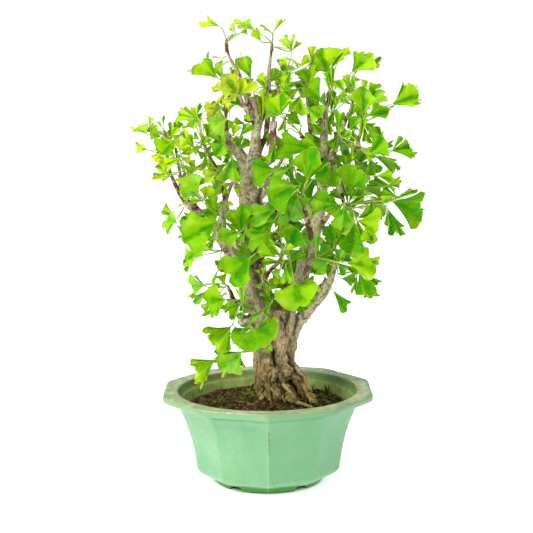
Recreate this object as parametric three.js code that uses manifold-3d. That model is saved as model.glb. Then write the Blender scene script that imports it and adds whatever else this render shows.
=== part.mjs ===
// A ginkgo bonsai in a ten-sided glazed pot.
// Millimetres, +Z up, front towards -Y. The whole stands centred on the origin.
import * as THREE from 'three';
import { mergeVertices } from 'three/addons/utils/BufferGeometryUtils.js';
import Module from 'manifold-3d';

const wasm = await Module();
wasm.setup();

// ---------------------------------------------------------------- driving sizes
const POT_HEIGHT = 120;
const POT_SIDES = 10;
const RIM_RADIUS = 143; // over the corners of the lip
const LIP_HEIGHT = 9;
const OPENING_RADIUS = 119;
const FOOT_HEIGHT = 11;
const FOOT_RADIUS = 73;
const FOOT_BAND = 11; // radial width of the foot ring
const FOOT_COUNT = 5;
const ARCH_WIDTH = 20; // opening between two feet
const ARCH_RISE = 8;
const FLOOR_LEVEL = 20;
const DRAIN_RADIUS = 9;
const DRAIN_OFFSET = 34;
const DRAIN_COUNT = 3;
const GAP = 0.35; // clearance between pieces that touch
const ROUND_SEGMENTS = 20;

const SOIL_EDGE = 95; // soil level at the wall
const SOIL_MOUND = 18; // extra height at the trunk

const BLADE_THICKNESS = 0.9;
const BLADE_CLEARANCE = 4.6; // least distance between the samples of two blades
const SAMPLE_STEP = 5;
const PETIOLE_RADIUS = 0.7;
const SHORT_PETIOLE = 26; // petioles shorter than this are straight unless well bent
const STRAIGHT = 1.2; // most that a straight petiole's path is longer than its span
const LONG_PETIOLE = 60; // petioles longer than this are bent in three lengths
const BUD_LENGTH = 6;
const BUD_RADIUS = 3;
const SPUR_RADIUS = 2.1;
const SMALL_BLADE = 24; // blades shorter than this have a plainer edge
const LARGE_BLADE = 33; // blades longer than this are cupped along their length too

// ---------------------------------------------------------------- the front sheet
// Tree points are laid out on a front sheet: u to the right, v downwards, in sheet units of
// about 1.3 mm, and a depth in mm behind the pot's axis. The sheet is drawn in perspective,
// as seen from EYE, so a point keeps its place on the sheet at any depth.
const EYE = new THREE.Vector3(0, -1700, 529);
const SHEET_PITCH = THREE.MathUtils.degToRad(8.15);
const SHEET_ROLL = THREE.MathUtils.degToRad(-0.53);
const SHEET_FOCUS = 1309;
const SHEET_CENTRE = 266.5;
const FRONT_SPREAD = 1.55; // depths in front of the pot's axis are drawn out by this

function onSheet(u, v, depth) {
  const du = u - SHEET_CENTRE;
  const dv = v - SHEET_CENTRE;
  const across = du * Math.cos(SHEET_ROLL) + dv * Math.sin(SHEET_ROLL);
  const down = -du * Math.sin(SHEET_ROLL) + dv * Math.cos(SHEET_ROLL);
  const sight = new THREE.Vector3(
    across,
    SHEET_FOCUS * Math.cos(SHEET_PITCH) - down * Math.sin(SHEET_PITCH),
    -SHEET_FOCUS * Math.sin(SHEET_PITCH) - down * Math.cos(SHEET_PITCH),
  );
  const behind = depth < 0 ? depth * FRONT_SPREAD : depth;
  return sight.multiplyScalar((behind - EYE.y) / sight.y).add(EYE);
}

// The same sheet place, moved back by a depth.
function pushed(point, depth) {
  const sight = point.clone().sub(EYE);
  return point.clone().addScaledVector(sight, depth / sight.y);
}

// ---------------------------------------------------------------- solids
function solid(geometry) {
  const bare = geometry.clone();
  bare.deleteAttribute('normal');
  bare.deleteAttribute('uv');
  const merged = mergeVertices(bare, 1e-4);
  return new wasm.Manifold(new wasm.Mesh({
    numProp: 3,
    vertProperties: new Float32Array(merged.getAttribute('position').array),
    triVerts: new Uint32Array(merged.getIndex().array),
  }));
}

function largest(body) {
  return body.decompose().sort((a, b) => b.volume() - a.volume())[0];
}

function union(list) {
  return wasm.Manifold.union(list);
}

function meshOf(body, name, colour, roughness) {
  const { vertProperties, triVerts, numProp } = body.getMesh();
  const geometry = new THREE.BufferGeometry();
  const positions = new Float32Array(vertProperties.length / numProp * 3);
  for (let i = 0; i < positions.length / 3; i += 1) {
    positions.set(vertProperties.subarray(i * numProp, i * numProp + 3), i * 3);
  }
  geometry.setAttribute('position', new THREE.BufferAttribute(positions, 3));
  geometry.setIndex(new THREE.BufferAttribute(new Uint32Array(triVerts), 1));
  geometry.computeVertexNormals();
  const material = new THREE.MeshStandardMaterial({ color: colour, roughness, metalness: 0 });
  const mesh = new THREE.Mesh(geometry, material);
  mesh.name = name;
  return mesh;
}

// A closed solid of revolution, turned so that a corner faces the front.
function turned(profile, segments) {
  const points = profile.map(([radius, height]) => new THREE.Vector2(radius, height));
  const lathe = new THREE.LatheGeometry(points, segments, Math.PI);
  return lathe.rotateX(Math.PI / 2);
}

// Rings of points skinned to a closed tube with flat ends.
function skinned(rings) {
  const sides = rings[0].length;
  const positions = rings.flat().flatMap((p) => [p.x, p.y, p.z]);
  const index = [];
  for (let r = 0; r + 1 < rings.length; r += 1) {
    for (let s = 0; s < sides; s += 1) {
      const a = r * sides + s;
      const b = r * sides + (s + 1) % sides;
      index.push(a, b, b + sides, a, b + sides, a + sides);
    }
  }
  const last = (rings.length - 1) * sides;
  for (let s = 1; s + 1 < sides; s += 1) {
    index.push(0, s + 1, s);
    index.push(last, last + s, last + s + 1);
  }
  const geometry = new THREE.BufferGeometry();
  geometry.setAttribute('position', new THREE.Float32BufferAttribute(positions, 3));
  geometry.setIndex(index);
  return geometry;
}

// A tapering limb along points [position, radius], its rings square to the path.
function limb(path, sides, grow = 0) {
  const centres = path.map(([centre]) => centre);
  const start = centres[1].clone().sub(centres[0]).normalize();
  let side = new THREE.Vector3(1, 0, 0).cross(start);
  if (side.length() < 0.3) side = new THREE.Vector3(0, 1, 0).cross(start);
  side.normalize();
  const rings = centres.map((centre, i) => {
    const before = centres[Math.max(i - 1, 0)];
    const after = centres[Math.min(i + 1, centres.length - 1)];
    const along = after.clone().sub(before).normalize();
    side.addScaledVector(along, -side.dot(along)).normalize();
    const other = along.clone().cross(side);
    const at = centre.clone();
    if (i === 0) at.addScaledVector(along, -grow);
    if (i === centres.length - 1) at.addScaledVector(along, grow);
    return Array.from({ length: sides }, (_, s) => {
      const turn = 2 * Math.PI * s / sides;
      return at.clone()
        .addScaledVector(side, (path[i][1] + grow) * Math.cos(turn))
        .addScaledVector(other, (path[i][1] + grow) * Math.sin(turn));
    });
  });
  return skinned(rings);
}

// ---------------------------------------------------------------- the pot
// [radius over the corners, height] from the drain floor's centre up the outside
const BODY_PROFILE = [
  [0, FOOT_HEIGHT],
  [81, FOOT_HEIGHT],
  [95.5, 19.5],
  [98.5, 26],
  [101.6, 45],
  [105.2, 61],
  [111.4, 81],
  [118.5, 98],
  [125.5, POT_HEIGHT - LIP_HEIGHT],
  [RIM_RADIUS, POT_HEIGHT - LIP_HEIGHT],
  [RIM_RADIUS, POT_HEIGHT],
  [0, POT_HEIGHT],
];

// [radius, height] of the round inside, from the top edge down to the floor
const WALL_PROFILE = [
  [OPENING_RADIUS, POT_HEIGHT],
  [117, 108],
  [112.5, 107],
  [108, 95],
  [94.5, 61],
  [86, 27],
  [78, FLOOR_LEVEL],
];

function potBody() {
  const outside = solid(turned(BODY_PROFILE, POT_SIDES));
  const cut = [[0, FLOOR_LEVEL], ...WALL_PROFILE.toReversed(), [OPENING_RADIUS, POT_HEIGHT + 5]];
  const inside = solid(turned([...cut, [0, POT_HEIGHT + 5]], ROUND_SEGMENTS));
  const inner = FOOT_RADIUS - FOOT_BAND;
  const ring = [
    [inner, 0],
    [FOOT_RADIUS - 1, 0],
    [FOOT_RADIUS + 2, FOOT_HEIGHT + 2],
    [inner, FOOT_HEIGHT + 2],
    [inner, 0],
  ];
  let foot = solid(turned(ring, POT_SIDES * 2));
  for (let i = 0; i < FOOT_COUNT; i += 1) {
    const arch = new THREE.CylinderGeometry(1, 1, FOOT_BAND * 3, 16);
    arch.scale(ARCH_WIDTH / 2, 1, ARCH_RISE);
    arch.translate(0, FOOT_RADIUS, 0);
    arch.rotateZ(2 * Math.PI * i / FOOT_COUNT);
    foot = foot.subtract(solid(arch));
  }
  let body = union([outside, foot]).subtract(inside);
  for (let i = 0; i < DRAIN_COUNT; i += 1) {
    const hole = new THREE.CylinderGeometry(DRAIN_RADIUS, DRAIN_RADIUS, FLOOR_LEVEL * 2, 12);
    hole.rotateX(Math.PI / 2);
    hole.translate(0, DRAIN_OFFSET, FLOOR_LEVEL);
    hole.rotateZ(2 * Math.PI * i / DRAIN_COUNT);
    body = body.subtract(solid(hole));
  }
  return largest(body);
}

// ---------------------------------------------------------------- the wood
// Each limb is a list of [u, v, depth, radius in mm] on the front sheet.
const BUTT = [
  [278, 440, 8, 12], [278, 424, 8, 25], [277.5, 410, 8, 33], [277, 397, 8, 30],
  [274.5, 376, 8, 27.5], [274, 357, 8, 27.5], [275.5, 340, 8, 28], [277, 325, 8, 25],
  [278, 308, 9, 17],
];
const ROOTS = [
  [[286, 366, 2, 9], [297, 374, -2, 7.6], [305, 384, -4, 6.2], [312, 395, -6, 5.6], [320, 407, -8, 4.8],
    [330, 420, -10, 3]],
  [[283, 378, -14, 7], [290, 389, -21, 5], [296, 399, -25, 4.2], [301, 411, -28, 3]],
  [[286, 396, -14, 6], [298, 402, -16, 4.6], [310, 407, -14, 3.8], [322, 416, -12, 2.6]],
  [[264, 380, -4, 11], [259, 396, -7, 11], [253, 410, -10, 8], [246, 422, -12, 4]],
  [[270, 388, 26, 10], [262, 398, 42, 7.5], [254, 408, 58, 5], [248, 417, 68, 3]],
  [[288, 388, 24, 9], [299, 398, 40, 6.6], [309, 407, 54, 4.6], [316, 416, 64, 3]],
];
const TRUNKS = [
  // left limb
  [[266, 350, -6, 12], [263, 330, -10, 11], [256, 311, -12, 10], [247, 292, -14, 9], [238, 270, -16, 8.4],
    [230, 253, -16, 7.6], [219, 236, -15, 6.4], [207, 221, -13, 5.6], [197, 211, -12, 5.2],
    [187, 203, -10, 4.8], [180, 193, -8, 3.4], [174.5, 183, -6, 2.7], [170.5, 173, -4, 2.3],
    [167.5, 161, -3, 1.9]],
  // main limb
  [[273, 342, 14, 19], [266, 315, 16, 17], [258, 285, 18, 15.5], [253, 258, 19, 14.5], [249.5, 234, 20, 13],
    [248.5, 210, 21, 12], [248.5, 187, 21, 11.6], [249.5, 172, 21, 10.5], [251, 158, 21, 8.6]],
  // right limb
  [[283, 340, 12, 16], [284, 315, 15, 14.5], [290, 292, 18, 13], [297, 273, 20, 11.6], [304, 257, 22, 10],
    [312, 238, 25, 8.6], [318, 222, 27, 7.6], [320.5, 206, 29, 7], [322, 188, 30, 6.4], [322.5, 170, 31, 6],
    [323, 153, 31, 5.6], [323.8, 137, 31, 5.2], [324, 120, 30, 4.6], [326.5, 108, 29, 3.6], [329, 97, 28, 2.6]],
  // leader
  [[250.5, 166, 21, 9], [254.5, 150, 21, 7], [256, 132, 21, 5.8], [256, 114, 20, 5.4], [252, 97, 19, 5]],
];
const BRANCHES = [
  [[245.5, 168, 20, 7], [239, 156, 17, 5.8], [231, 145, 14, 4.8], [224.5, 135, 12, 3.8]],
  [[257, 156, 22, 5], [261.5, 146, 24, 4], [266, 135, 26, 3], [268, 122, 27, 2.6], [269.4, 104, 26, 2.6],
    [268.8, 86, 24, 3], [269.4, 68, 22, 2.1], [271.6, 49, 21, 1.7]],
  [[254, 155, 18, 6.5], [263, 160, 13, 5.6], [270.5, 160, 10, 5.4], [272.5, 149, 8, 4.8], [273.4, 135, 8, 4.3],
    [273.6, 121, 8, 4.8]],
  [[250, 195, 18, 10], [258, 195, 12, 8.4], [266, 188, 8, 4.6]],
  [[262, 191, 12, 3.4], [270, 179, 10, 2.6], [277, 168, 8, 2.3], [284, 156, 7, 2.3]],
  [[255, 118, 18, 3], [248, 104, 13, 2.7], [243, 87, 9, 2.4], [239, 73, 7, 2.1], [233.5, 65, 5, 1.9],
    [228.6, 55, 3, 1.7], [226.5, 44, 2, 1.6]],
  [[253, 122, 17, 3], [247, 110, 12, 3.4], [242, 102, 8, 2.7], [239.4, 95, 5, 2.2]],
  [[273, 124, 9, 2.4], [276, 104, 12, 2.3], [279.6, 88, 13, 2.1], [283, 79, 13, 1.9]],
  [[284, 330, 2, 8], [290, 318, -4, 6], [294, 303, -7, 5.4], [300, 288, -9, 5], [306, 275, -11, 4.7],
    [310, 260, -13, 4.3], [311.6, 243, -15, 4.2], [309.3, 229, -17, 3.6], [305.5, 214, -19, 3.2], [303.2, 199, -20, 2.6]],
  [[256, 304, 4, 5], [259.5, 290, -6, 3.6], [265, 279, -11, 2.8], [270.5, 270, -15, 2.8], [276.5, 264.5, -18, 2.6],
    [281, 258, -21, 2.3], [282, 250, -23, 1.8]],
  [[287, 306, 8, 4], [286, 290, -10, 2.6], [285.2, 277, -16, 2.2], [285.4, 266, -20, 2]],
  [[288, 340, 6, 11], [297, 323, 2, 8.6], [309, 309, -3, 7.2], [321, 295, -7, 6.6], [328.5, 283, -9, 5.4],
    [332.5, 273, -10, 4], [334.6, 261, -11, 2.8]],
  [[314, 304, -3, 5], [320, 291, -1, 4.2], [323, 284, 1, 3.4]],
  [[266, 326, 0, 12], [252, 322, -8, 9.4], [240, 320, -13, 8]],
  [[256, 314, 2, 6], [243, 304, -5, 4], [234.5, 301.5, -8, 3.4], [230.6, 292, -9, 2.8], [228.6, 288.6, -10, 2.4]],
  [[322, 172, 30, 3.8], [316, 155, 25, 3.2], [311, 135, 21, 2.6], [308.6, 118, 19, 2.3], [307.6, 98.5, 18, 2]],
  [[312, 145, 22, 2.6], [306, 140, 15, 2.3], [301, 136, 12, 2.6]],
  [[323.5, 180, 30, 5], [329, 163, 26, 4.6], [335.5, 147, 22, 4.2], [339.6, 133, 20, 3.6], [345, 120.6, 18, 3.2],
    [350, 112, 17, 2.6], [352.5, 104, 17, 2.2]],
  [[323, 188, 30, 4.6], [334, 178, 22, 3.8], [345, 168, 12, 3.2], [352.5, 157, 6, 2.7], [357.2, 146, 3, 2.5],
    [359.7, 135, 2, 2], [362.4, 124.5, 1, 1.7]],
  [[326, 185, 27, 3.4], [335, 182, 16, 3.4], [340, 190, 3, 3.3], [343.6, 202, -6, 2.4]],
  [[318, 228, 25, 4.4], [324.5, 221, 20, 3.2], [330.4, 212.6, 16, 2.5]],
  [[252, 272, 10, 5], [263, 256, 2, 3.2], [272.3, 244, -4, 2.7], [277, 232, -8, 2.5], [281, 225, -10, 2.1]],
  [[224, 244, -12, 5.6], [222.6, 227, -5, 5], [222.8, 212, -1, 4.6], [225, 200, 2, 3.4], [222.6, 190, 3, 2.3],
    [219, 180, 2, 2.2], [216.4, 169, 0, 2.1], [210, 157, -2, 1.9], [204.2, 145.4, -4, 1.7]],
  [[225, 203, 2, 3.2], [229, 191, 6, 2.3], [232.4, 182, 9, 2]],
  [[223, 213, -1, 3.2], [232, 218, -9, 2.2]],
  [[187, 203, -10, 4.4], [181, 188, -15, 2.8], [181, 176, -19, 2.5]],
  [[181, 179, -18, 2.2], [178.7, 166, -20, 1.8], [176.6, 156, -21, 1.5], [175.3, 148, -21, 1.3]],
  [[168, 163, -3, 2], [166.6, 149, -1, 1.7], [165, 134, 1, 1.6]],
  [[228.5, 141, 13, 3.4], [226.6, 125, 9, 1.8], [225.8, 108, 7, 1.6]],
  [[270, 345, -8, 9], [266, 349.5, -22, 4.4], [263, 350, -26, 2.6]],
  [[226, 249, -18, 5], [223.4, 250, -25, 2.6]],
  [[247, 236, 8, 5], [243, 237, -2, 2.8], [242, 232, -8, 2.3]],
  [[310, 260, -13, 3], [313, 258.5, -18, 2.3]],
  [[196, 211, -12, 4], [193, 199, -19, 2.6]],
  [[205, 221, -13, 4], [212, 226, -19, 2.5], [217, 228, -22, 2.2]],
  [[256, 204, 16, 7], [268, 208, -2, 3], [276, 211, -12, 2.3]],
  // limbs behind the trunk
  [[249, 212, 24, 8], [243, 198, 48, 5.6], [235, 184, 70, 4.2], [229, 172, 88, 3]],
  [[317, 224, 28, 6.4], [309, 208, 52, 5], [298, 195, 74, 4], [289, 184, 92, 2.8]],
  [[292, 290, 22, 8], [302, 274, 46, 5.4], [311, 260, 70, 4.2], [317, 248, 90, 2.8]],
  [[322, 182, 32, 5], [333, 168, 56, 4], [343, 156, 76, 3], [350, 142, 90, 2.4]],
  [[254, 266, 22, 8], [243, 252, 48, 5.2], [233, 240, 72, 4], [224, 232, 88, 2.8]],
  [[256, 134, 22, 4.6], [262, 118, 42, 3.4], [270, 104, 58, 2.6], [276, 92, 68, 2.2]],
  [[324, 128, 32, 4], [318, 112, 50, 3], [310, 98, 64, 2.4], [306, 84, 72, 2]],
  [[250, 166, 24, 6], [238, 148, 44, 4], [226, 132, 62, 3], [218, 120, 74, 2.2]],
];

const LIMB_SIDES = 7;
const ROOT_SIDES = 5;
const BRANCH_SIDES = 4;
const TWIG_SIDES = 3;
const TWIG_RADIUS = 3.5; // limbs no thicker than this are twigs

function sidesFor(path) {
  return Math.max(...path.map(([, radius]) => radius)) > TWIG_RADIUS ? BRANCH_SIDES : TWIG_SIDES;
}

function placed(list) {
  return list.map(([u, v, depth, radius]) => [onSheet(u, v, depth), radius]);
}


// ---------------------------------------------------------------- the leafy sprays
// from: where the spur leaves its limb, tip: its end, both [u, v, depth].
// A blade row holds: u and v of the blade's foot, u and v of its outer middle, depth of the
// foot, lean (depth gained from foot to edge), seen span in degrees, roll in degrees,
// tone (0 deep green to 1 yellow), cup (how far the side edges stand forward).
const SPRAYS = [
  { from: [227, 52, 3], tip: [226.4, 43, 2], blades: [
    [219, 28, 202, 22, -6, 8, 44, 20, 0.75, 0.2]] },
  { from: [271.6, 51, 21], tip: [272, 46.6, 20.8], blades: [
    [254, 30, 242, 22, 30, 8, 62, 25, 0.35, 0.3],
    [260.5, 41, 255, 31.5, 14, -6, 62, 20, 0.45, 0.35],
    [273.4, 32, 281.5, 19.5, 16, 6, 28, 35, 0.5, 0.2]] },
  { from: [281, 85, 13], tip: [283.6, 77.6, 13], blades: [
    [291.4, 52, 288, 38.5, 14, 8, 62, 30, 0.6, 0.2],
    [299, 67, 309.5, 58, 18, 4, 52, 30, 0.65, 0.3],
    [283.6, 77, 273, 74, 22, 8, 70, 15, 0.05, 0.2]] },
  { from: [328, 102, 28.5], tip: [329.3, 93.2, 27.8], blades: [
    [328, 70, 327.5, 47, 12, -8, 92, 15, 0.4, 0.3],
    [330.5, 71, 346, 55, 20, 8, 46, 20, 0.45, 0.2],
    [328, 73, 322, 64, 28, 10, 90, 20, 0.1, 0.2],
    [332, 89, 329.4, 71.5, 4, -6, 30, 25, 0.2, -0.2],
    [334, 99, 346.5, 94.5, 14, 0, 46, 35, 0.3, 0.2],
    [320.5, 101, 309, 85.5, 12, -10, 68, 20, 0.08, 0.2],
    [320, 107, 312, 96.5, 34, 6, 60, 20, 0.2, 0.2],
    [323, 119, 316, 106.5, 14, -8, 70, 20, 0.3, 0.25]] },
  { from: [350, 112, 17], tip: [352.6, 103, 17], blades: [
    [352, 73, 368.5, 58.5, 4, -6, 84, 15, 0.25, 0.35],
    [341.5, 92, 354.5, 88.5, 6, -6, 55, 25, 0.1, 0.2],
    [333.5, 110, 337.6, 99.5, 12, -4, 35, 30, 0.25, 0.2]] },
  { from: [360.4, 132, 2], tip: [362.4, 123.6, 1], blades: [
    [362.6, 114, 365.6, 91.5, -12, -10, 74, 10, 0.3, 0.35],
    [371.5, 99, 377, 88, 12, 8, 72, 20, 0.08, 0.2],
    [368, 116, 383.5, 108, -4, -8, 62, 20, 0.15, 0.3],
    [392, 104, 416, 95, 2, -6, 60, 20, 0.3, 0.3],
    [364.4, 127, 366, 141.5, 6, -4, 40, 20, 0.3, 0.2]] },
  { from: [307.8, 104, 18], tip: [307.5, 97.6, 18], blades: [
    [300, 96.5, 297, 111, -2, -8, 74, 20, 0.35, 0.3],
    [296.5, 82, 284, 87, 4, -2, 62, 20, 0.25, 0.2],
    [293, 99, 282, 96, 16, 4, 60, 25, 0.35, 0.2]] },
  { from: [240.4, 98, 6], tip: [239, 94, 5], blades: [
    [217.6, 81, 199, 67.5, 0, -8, 66, 15, 0.25, 0.3],
    [223.6, 79, 215, 63.5, 10, 4, 50, 20, 0.3, 0.2],
    [251, 78.5, 243, 59.5, 4, -6, 56, 15, 0.15, 0.25],
    [231.6, 79, 233, 68.5, 14, 0, 28, 30, 0.2, 0.1],
    [238.6, 89, 236.4, 73, -4, -6, 16, 60, 0.85, 0.1],
    [236.6, 92, 225.5, 83, -12, -12, 84, 15, 0.9, 0.4],
    [226, 90, 214.6, 86, 0, 0, 56, 20, 0.75, 0.2],
    [240.4, 94.5, 247, 84.5, -16, -10, 72, 20, 0.8, 0.4],
    [247, 91.5, 256, 85, -2, -4, 56, 20, 0.65, 0.3],
    [266, 92, 262, 76, 30, 4, 50, 20, 0.35, 0.1]] },
  { from: [226, 116, 8], tip: [225.6, 107, 7], blades: [
    [219, 107.5, 206, 113.5, -6, -6, 88, 20, 0.85, 0.3],
    [227.5, 118, 213, 128, -14, -8, 72, 20, 0.2, 0.2]] },
  { from: [226, 138, 13], tip: [222.8, 132.6, 2], blades: [
    [233, 135.5, 236.5, 124, 6, 2, 66, 20, 0.45, 0.2],
    [240, 136, 249.5, 125.5, 2, -6, 46, 20, 0.25, 0.25],
    [224.5, 142.5, 215, 152, -8, -8, 88, 15, 0.2, 0.3],
    [207.5, 140.5, 209, 124.5, 14, 4, 44, 25, 0.2, 0.2],
    [240, 147, 238, 136.5, 22, 4, 66, 20, 0.1, 0.2]] },
  { from: [206.4, 149, -3], tip: [203.2, 143, -4.2], blades: [
    [196.6, 117.5, 182, 112.5, 4, 4, 58, 20, 0.35, 0.25],
    [196.4, 116, 200.6, 105, -10, 0, 22, 55, 0.12, 0.1],
    [194, 147, 186, 136.5, -10, -4, 66, 20, 0.55, 0.25],
    [206, 153, 205, 166, -6, -2, 40, 30, 0.15, 0.2]] },
  { from: [165.8, 142, 0], tip: [164.8, 134, 1], blades: [
    [147, 134, 139, 124.5, -2, 4, 92, 15, 0.55, 0.35],
    [170.6, 137.5, 174.5, 126.5, -4, -6, 56, 15, 0.3, 0.3]] },
  { from: [181.4, 181, -17], tip: [184.6, 174, -24], blades: [
    [171, 142.5, 160.5, 151, -36, -8, 108, 10, 0.12, 0.3],
    [172, 151, 172, 137.5, -28, 6, 92, 20, 0.5, 0.3],
    [178.5, 151, 186.5, 141, -30, 2, 66, 20, 0.6, 0.25],
    [168, 160, 156, 158, -22, 0, 44, 25, 0.65, 0.2],
    [170, 173.5, 155, 177, -26, -6, 12, 65, 0.15, 0.1],
    [188.6, 177, 191.6, 165.5, -22, 0, 76, 20, 0.5, 0.25]] },
  { from: [194, 205, -15], tip: [193, 197.6, -20], blades: [
    [199, 193.5, 184.6, 184.5, -34, -8, 108, 10, 0.2, 0.3],
    [204, 200.5, 191.5, 201.2, -28, -4, 36, 45, 0.45, 0.2],
    [205, 198.5, 208, 187.5, -24, -2, 88, 20, 0.65, 0.3],
    [216, 213, 210, 199, -30, -4, 62, 25, 0.12, 0.2],
    [218.6, 212.5, 209, 217.5, -34, -8, 84, 20, 0.3, 0.35]] },
  { from: [218.6, 178, 1], tip: [217.6, 171, -8], blades: [
    [217.6, 172, 205.5, 176, -24, -6, 72, 15, 0.7, 0.3],
    [223, 181.5, 214.5, 192, -20, 0, 64, 20, 0.35, 0.3]] },
  { from: [236, 166, 14], tip: [232, 163, 2], blades: [
    [232.4, 157.5, 228.6, 181.5, -18, -4, 64, 15, 0.22, 0.3]] },
  { from: [214, 227, -20], tip: [218.4, 228.6, -24], blades: [
    [218, 222.5, 186.5, 236, -46, -14, 80, 10, 0.25, 0.35],
    [178, 222, 164.6, 215.6, -36, 6, 116, 10, 0.3, 0.3],
    [214, 224.6, 203.5, 220.5, -34, 0, 50, 25, 0.6, 0.2]] },
  { from: [225, 249.6, -20], tip: [222.4, 250.2, -27], blades: [
    [200.4, 252, 184.6, 259, -44, 0, 74, 15, 0.3, 0.4],
    [218.6, 269, 211.4, 281, -38, -2, 22, 55, 0.4, 0.1]] },
  { from: [230.2, 292, -9], tip: [228.4, 287.8, -10], blades: [
    [205, 285, 189.6, 285.6, -22, 6, 76, 15, 0.35, 0.35],
    [209.6, 289.6, 195, 300.6, -34, -6, 34, 25, 0.12, 0.2],
    [225.4, 300, 208, 302, -44, -8, 112, 10, 0.35, 0.3],
    [216, 296, 216.6, 284, -30, 4, 34, 20, 0.4, 0.1]] },
  { from: [246, 312, -8], tip: [241.6, 309, -14], blades: [
    [240.6, 303.4, 228.5, 312.5, -36, -6, 62, 20, 0.3, 0.3],
    [247, 310.4, 238, 316.5, -24, -2, 42, 25, 0.15, 0.2],
    [242.8, 308, 241.6, 289, -34, -4, 22, 35, 0.4, 0.2],
    [230.6, 327, 217, 346, -42, -8, 76, 10, 0.3, 0.3]] },
  { from: [244, 238, -4], tip: [241.8, 231.4, -9], blades: [
    [241, 234.6, 237.6, 210, -22, -10, 58, 15, 0.25, 0.25],
    [240.6, 231.5, 223.6, 240, -30, -6, 72, 15, 0.3, 0.35]] },
  { from: [281.8, 254, -22], tip: [282.4, 246.8, -23.8], blades: [
    [251, 258, 230.5, 278, -48, -10, 86, 8, 0.3, 0.35],
    [274, 232, 248.6, 239.5, -40, -8, 46, 20, 0.3, 0.45],
    [277, 257, 259.6, 249.4, -30, -2, 46, 20, 0.55, 0.3],
    [288, 251, 297.5, 232.5, -30, -4, 88, 12, 0.3, 0.3],
    [292, 261.5, 304, 252.5, -26, 0, 46, 25, 0.08, 0.2],
    [281.6, 267, 274, 276.5, -28, 0, 52, 20, 0.15, 0.2],
    [294, 282, 298, 305, -44, -8, 148, 8, 0.5, 0.3]] },
  { from: [263.5, 283, -10], tip: [261.6, 278, -17], blades: [
    [279, 300, 267, 304.6, -18, 0, 58, 20, 0.08, 0.2]] },
  { from: [277, 215, -8], tip: [279, 209.6, -12], blades: [
    [278, 207.6, 254.6, 215.4, -34, -10, 54, 10, 0.3, 0.4],
    [273, 221.4, 256, 232.5, -28, -4, 50, 20, 0.12, 0.2],
    [297, 186, 270, 194, -40, -10, 84, 10, 0.2, 0.3],
    [298, 191, 288, 216, -24, -4, 70, 15, 0.08, 0.25]] },
  { from: [279, 165, 8], tip: [284.4, 155, 7], blades: [
    [275.4, 169.6, 253.6, 172, -24, -8, 78, 12, 0.25, 0.25],
    [294, 180, 286, 167, 4, -2, 60, 20, 0.06, 0.2],
    [294, 163, 286.4, 152, -8, -4, 52, 20, 0.35, 0.2]] },
  { from: [303.8, 204, -19.4], tip: [303, 197.6, -20], blades: [
    [316, 150, 281, 144.5, -22, -6, 44, 15, 0.25, 0.4],
    [307, 179, 306.6, 154, -34, -8, 74, 8, 0.3, 0.5],
    [329.6, 165.6, 325.5, 183.5, -24, -6, 96, 12, 0.2, 0.4]] },
  { from: [303, 138, 14], tip: [300.6, 134, 10], blades: [
    [280.6, 114.5, 275.6, 96, -6, -6, 84, 10, 0.5, 0.45],
    [279.6, 116, 265.6, 111, 6, 0, 60, 20, 0.05, 0.2],
    [301, 124, 291, 113.5, 4, -4, 44, 20, 0.1, 0.2],
    [276.6, 107, 268.6, 93, 20, 4, 54, 20, 0.6, 0.2]] },
  { from: [346, 167, 11], tip: [343, 174, 0], blades: [
    [346, 169.6, 346, 156, -6, 0, 64, 20, 0.15, 0.2],
    [349.6, 191, 356, 170.4, -26, -6, 92, 10, 0.22, 0.35],
    [362, 173.4, 373.6, 168.6, -4, 2, 78, 20, 0.06, 0.2],
    [367, 190, 383, 191.6, -12, 2, 62, 20, 0.1, 0.2],
    [377, 175.6, 392, 176, -22, -2, 66, 15, 0.4, 0.2],
    [388, 185.6, 398.6, 182, -14, 0, 60, 20, 0.35, 0.2]] },
  { from: [356.4, 148, 3], tip: [360, 147.6, -4], blades: [
    [369.4, 153.4, 385.6, 142.4, -18, -8, 82, 12, 0.35, 0.3],
    [391, 151, 412, 146.6, -10, 2, 52, 15, 0.25, 0.25],
    [378, 156.6, 366.4, 155.6, -26, -2, 66, 20, 0.45, 0.2],
    [378.6, 155.4, 396, 164, -16, 0, 34, 25, 0.15, 0.2],
    [338, 131, 339.6, 112, 2, -4, 36, 25, 0.15, 0.2],
    [349.6, 129.6, 355.4, 117, 6, -2, 64, 15, 0.08, 0.2]] },
  { from: [342.4, 197, -2], tip: [344, 204.4, -7], blades: [
    [339, 204.6, 316.6, 199, -32, -8, 60, 10, 0.22, 0.25],
    [344, 205.6, 343, 227, -42, -6, 72, 10, 0.3, 0.35],
    [355, 222, 351, 252.6, -50, -8, 56, 8, 0.12, 0.6],
    [358, 221, 380, 224, -40, -4, 84, 12, 0.6, 0.25],
    [371.4, 200, 374, 213, -30, -2, 66, 15, 0.15, 0.3],
    [398, 196, 383, 195, -28, 4, 34, 25, 0.55, 0.2],
    [392, 199.6, 424, 208.6, -24, -6, 74, 10, 0.2, 0.4],
    [388, 209, 397, 232, -14, 0, 44, 15, 0.08, 0.2]] },
  { from: [311, 259, -16], tip: [314.4, 258.2, -20], blades: [
    [347, 262, 372.6, 261, -44, -6, 82, 8, 0.55, 0.25],
    [328.6, 262, 316.6, 269, -34, -4, 86, 12, 0.15, 0.3],
    [334.4, 243.6, 329.4, 228.6, -20, -4, 62, 15, 0.02, 0.2],
    [315.8, 255.6, 317, 237, -30, -2, 34, 25, 0.06, 0.2],
    [317.6, 256.4, 327, 246, -38, 0, 56, 20, 0.1, 0.2],
    [338, 263, 341.6, 249, -30, 0, 60, 15, 0.15, 0.2],
    [341, 262, 351.6, 257, -34, 2, 40, 20, 0.12, 0.2],
    [338, 264, 345.6, 272.5, -26, -2, 62, 15, 0.15, 0.25]] },
  { from: [334, 266, -10.5], tip: [334.8, 259.6, -11], blades: [
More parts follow.
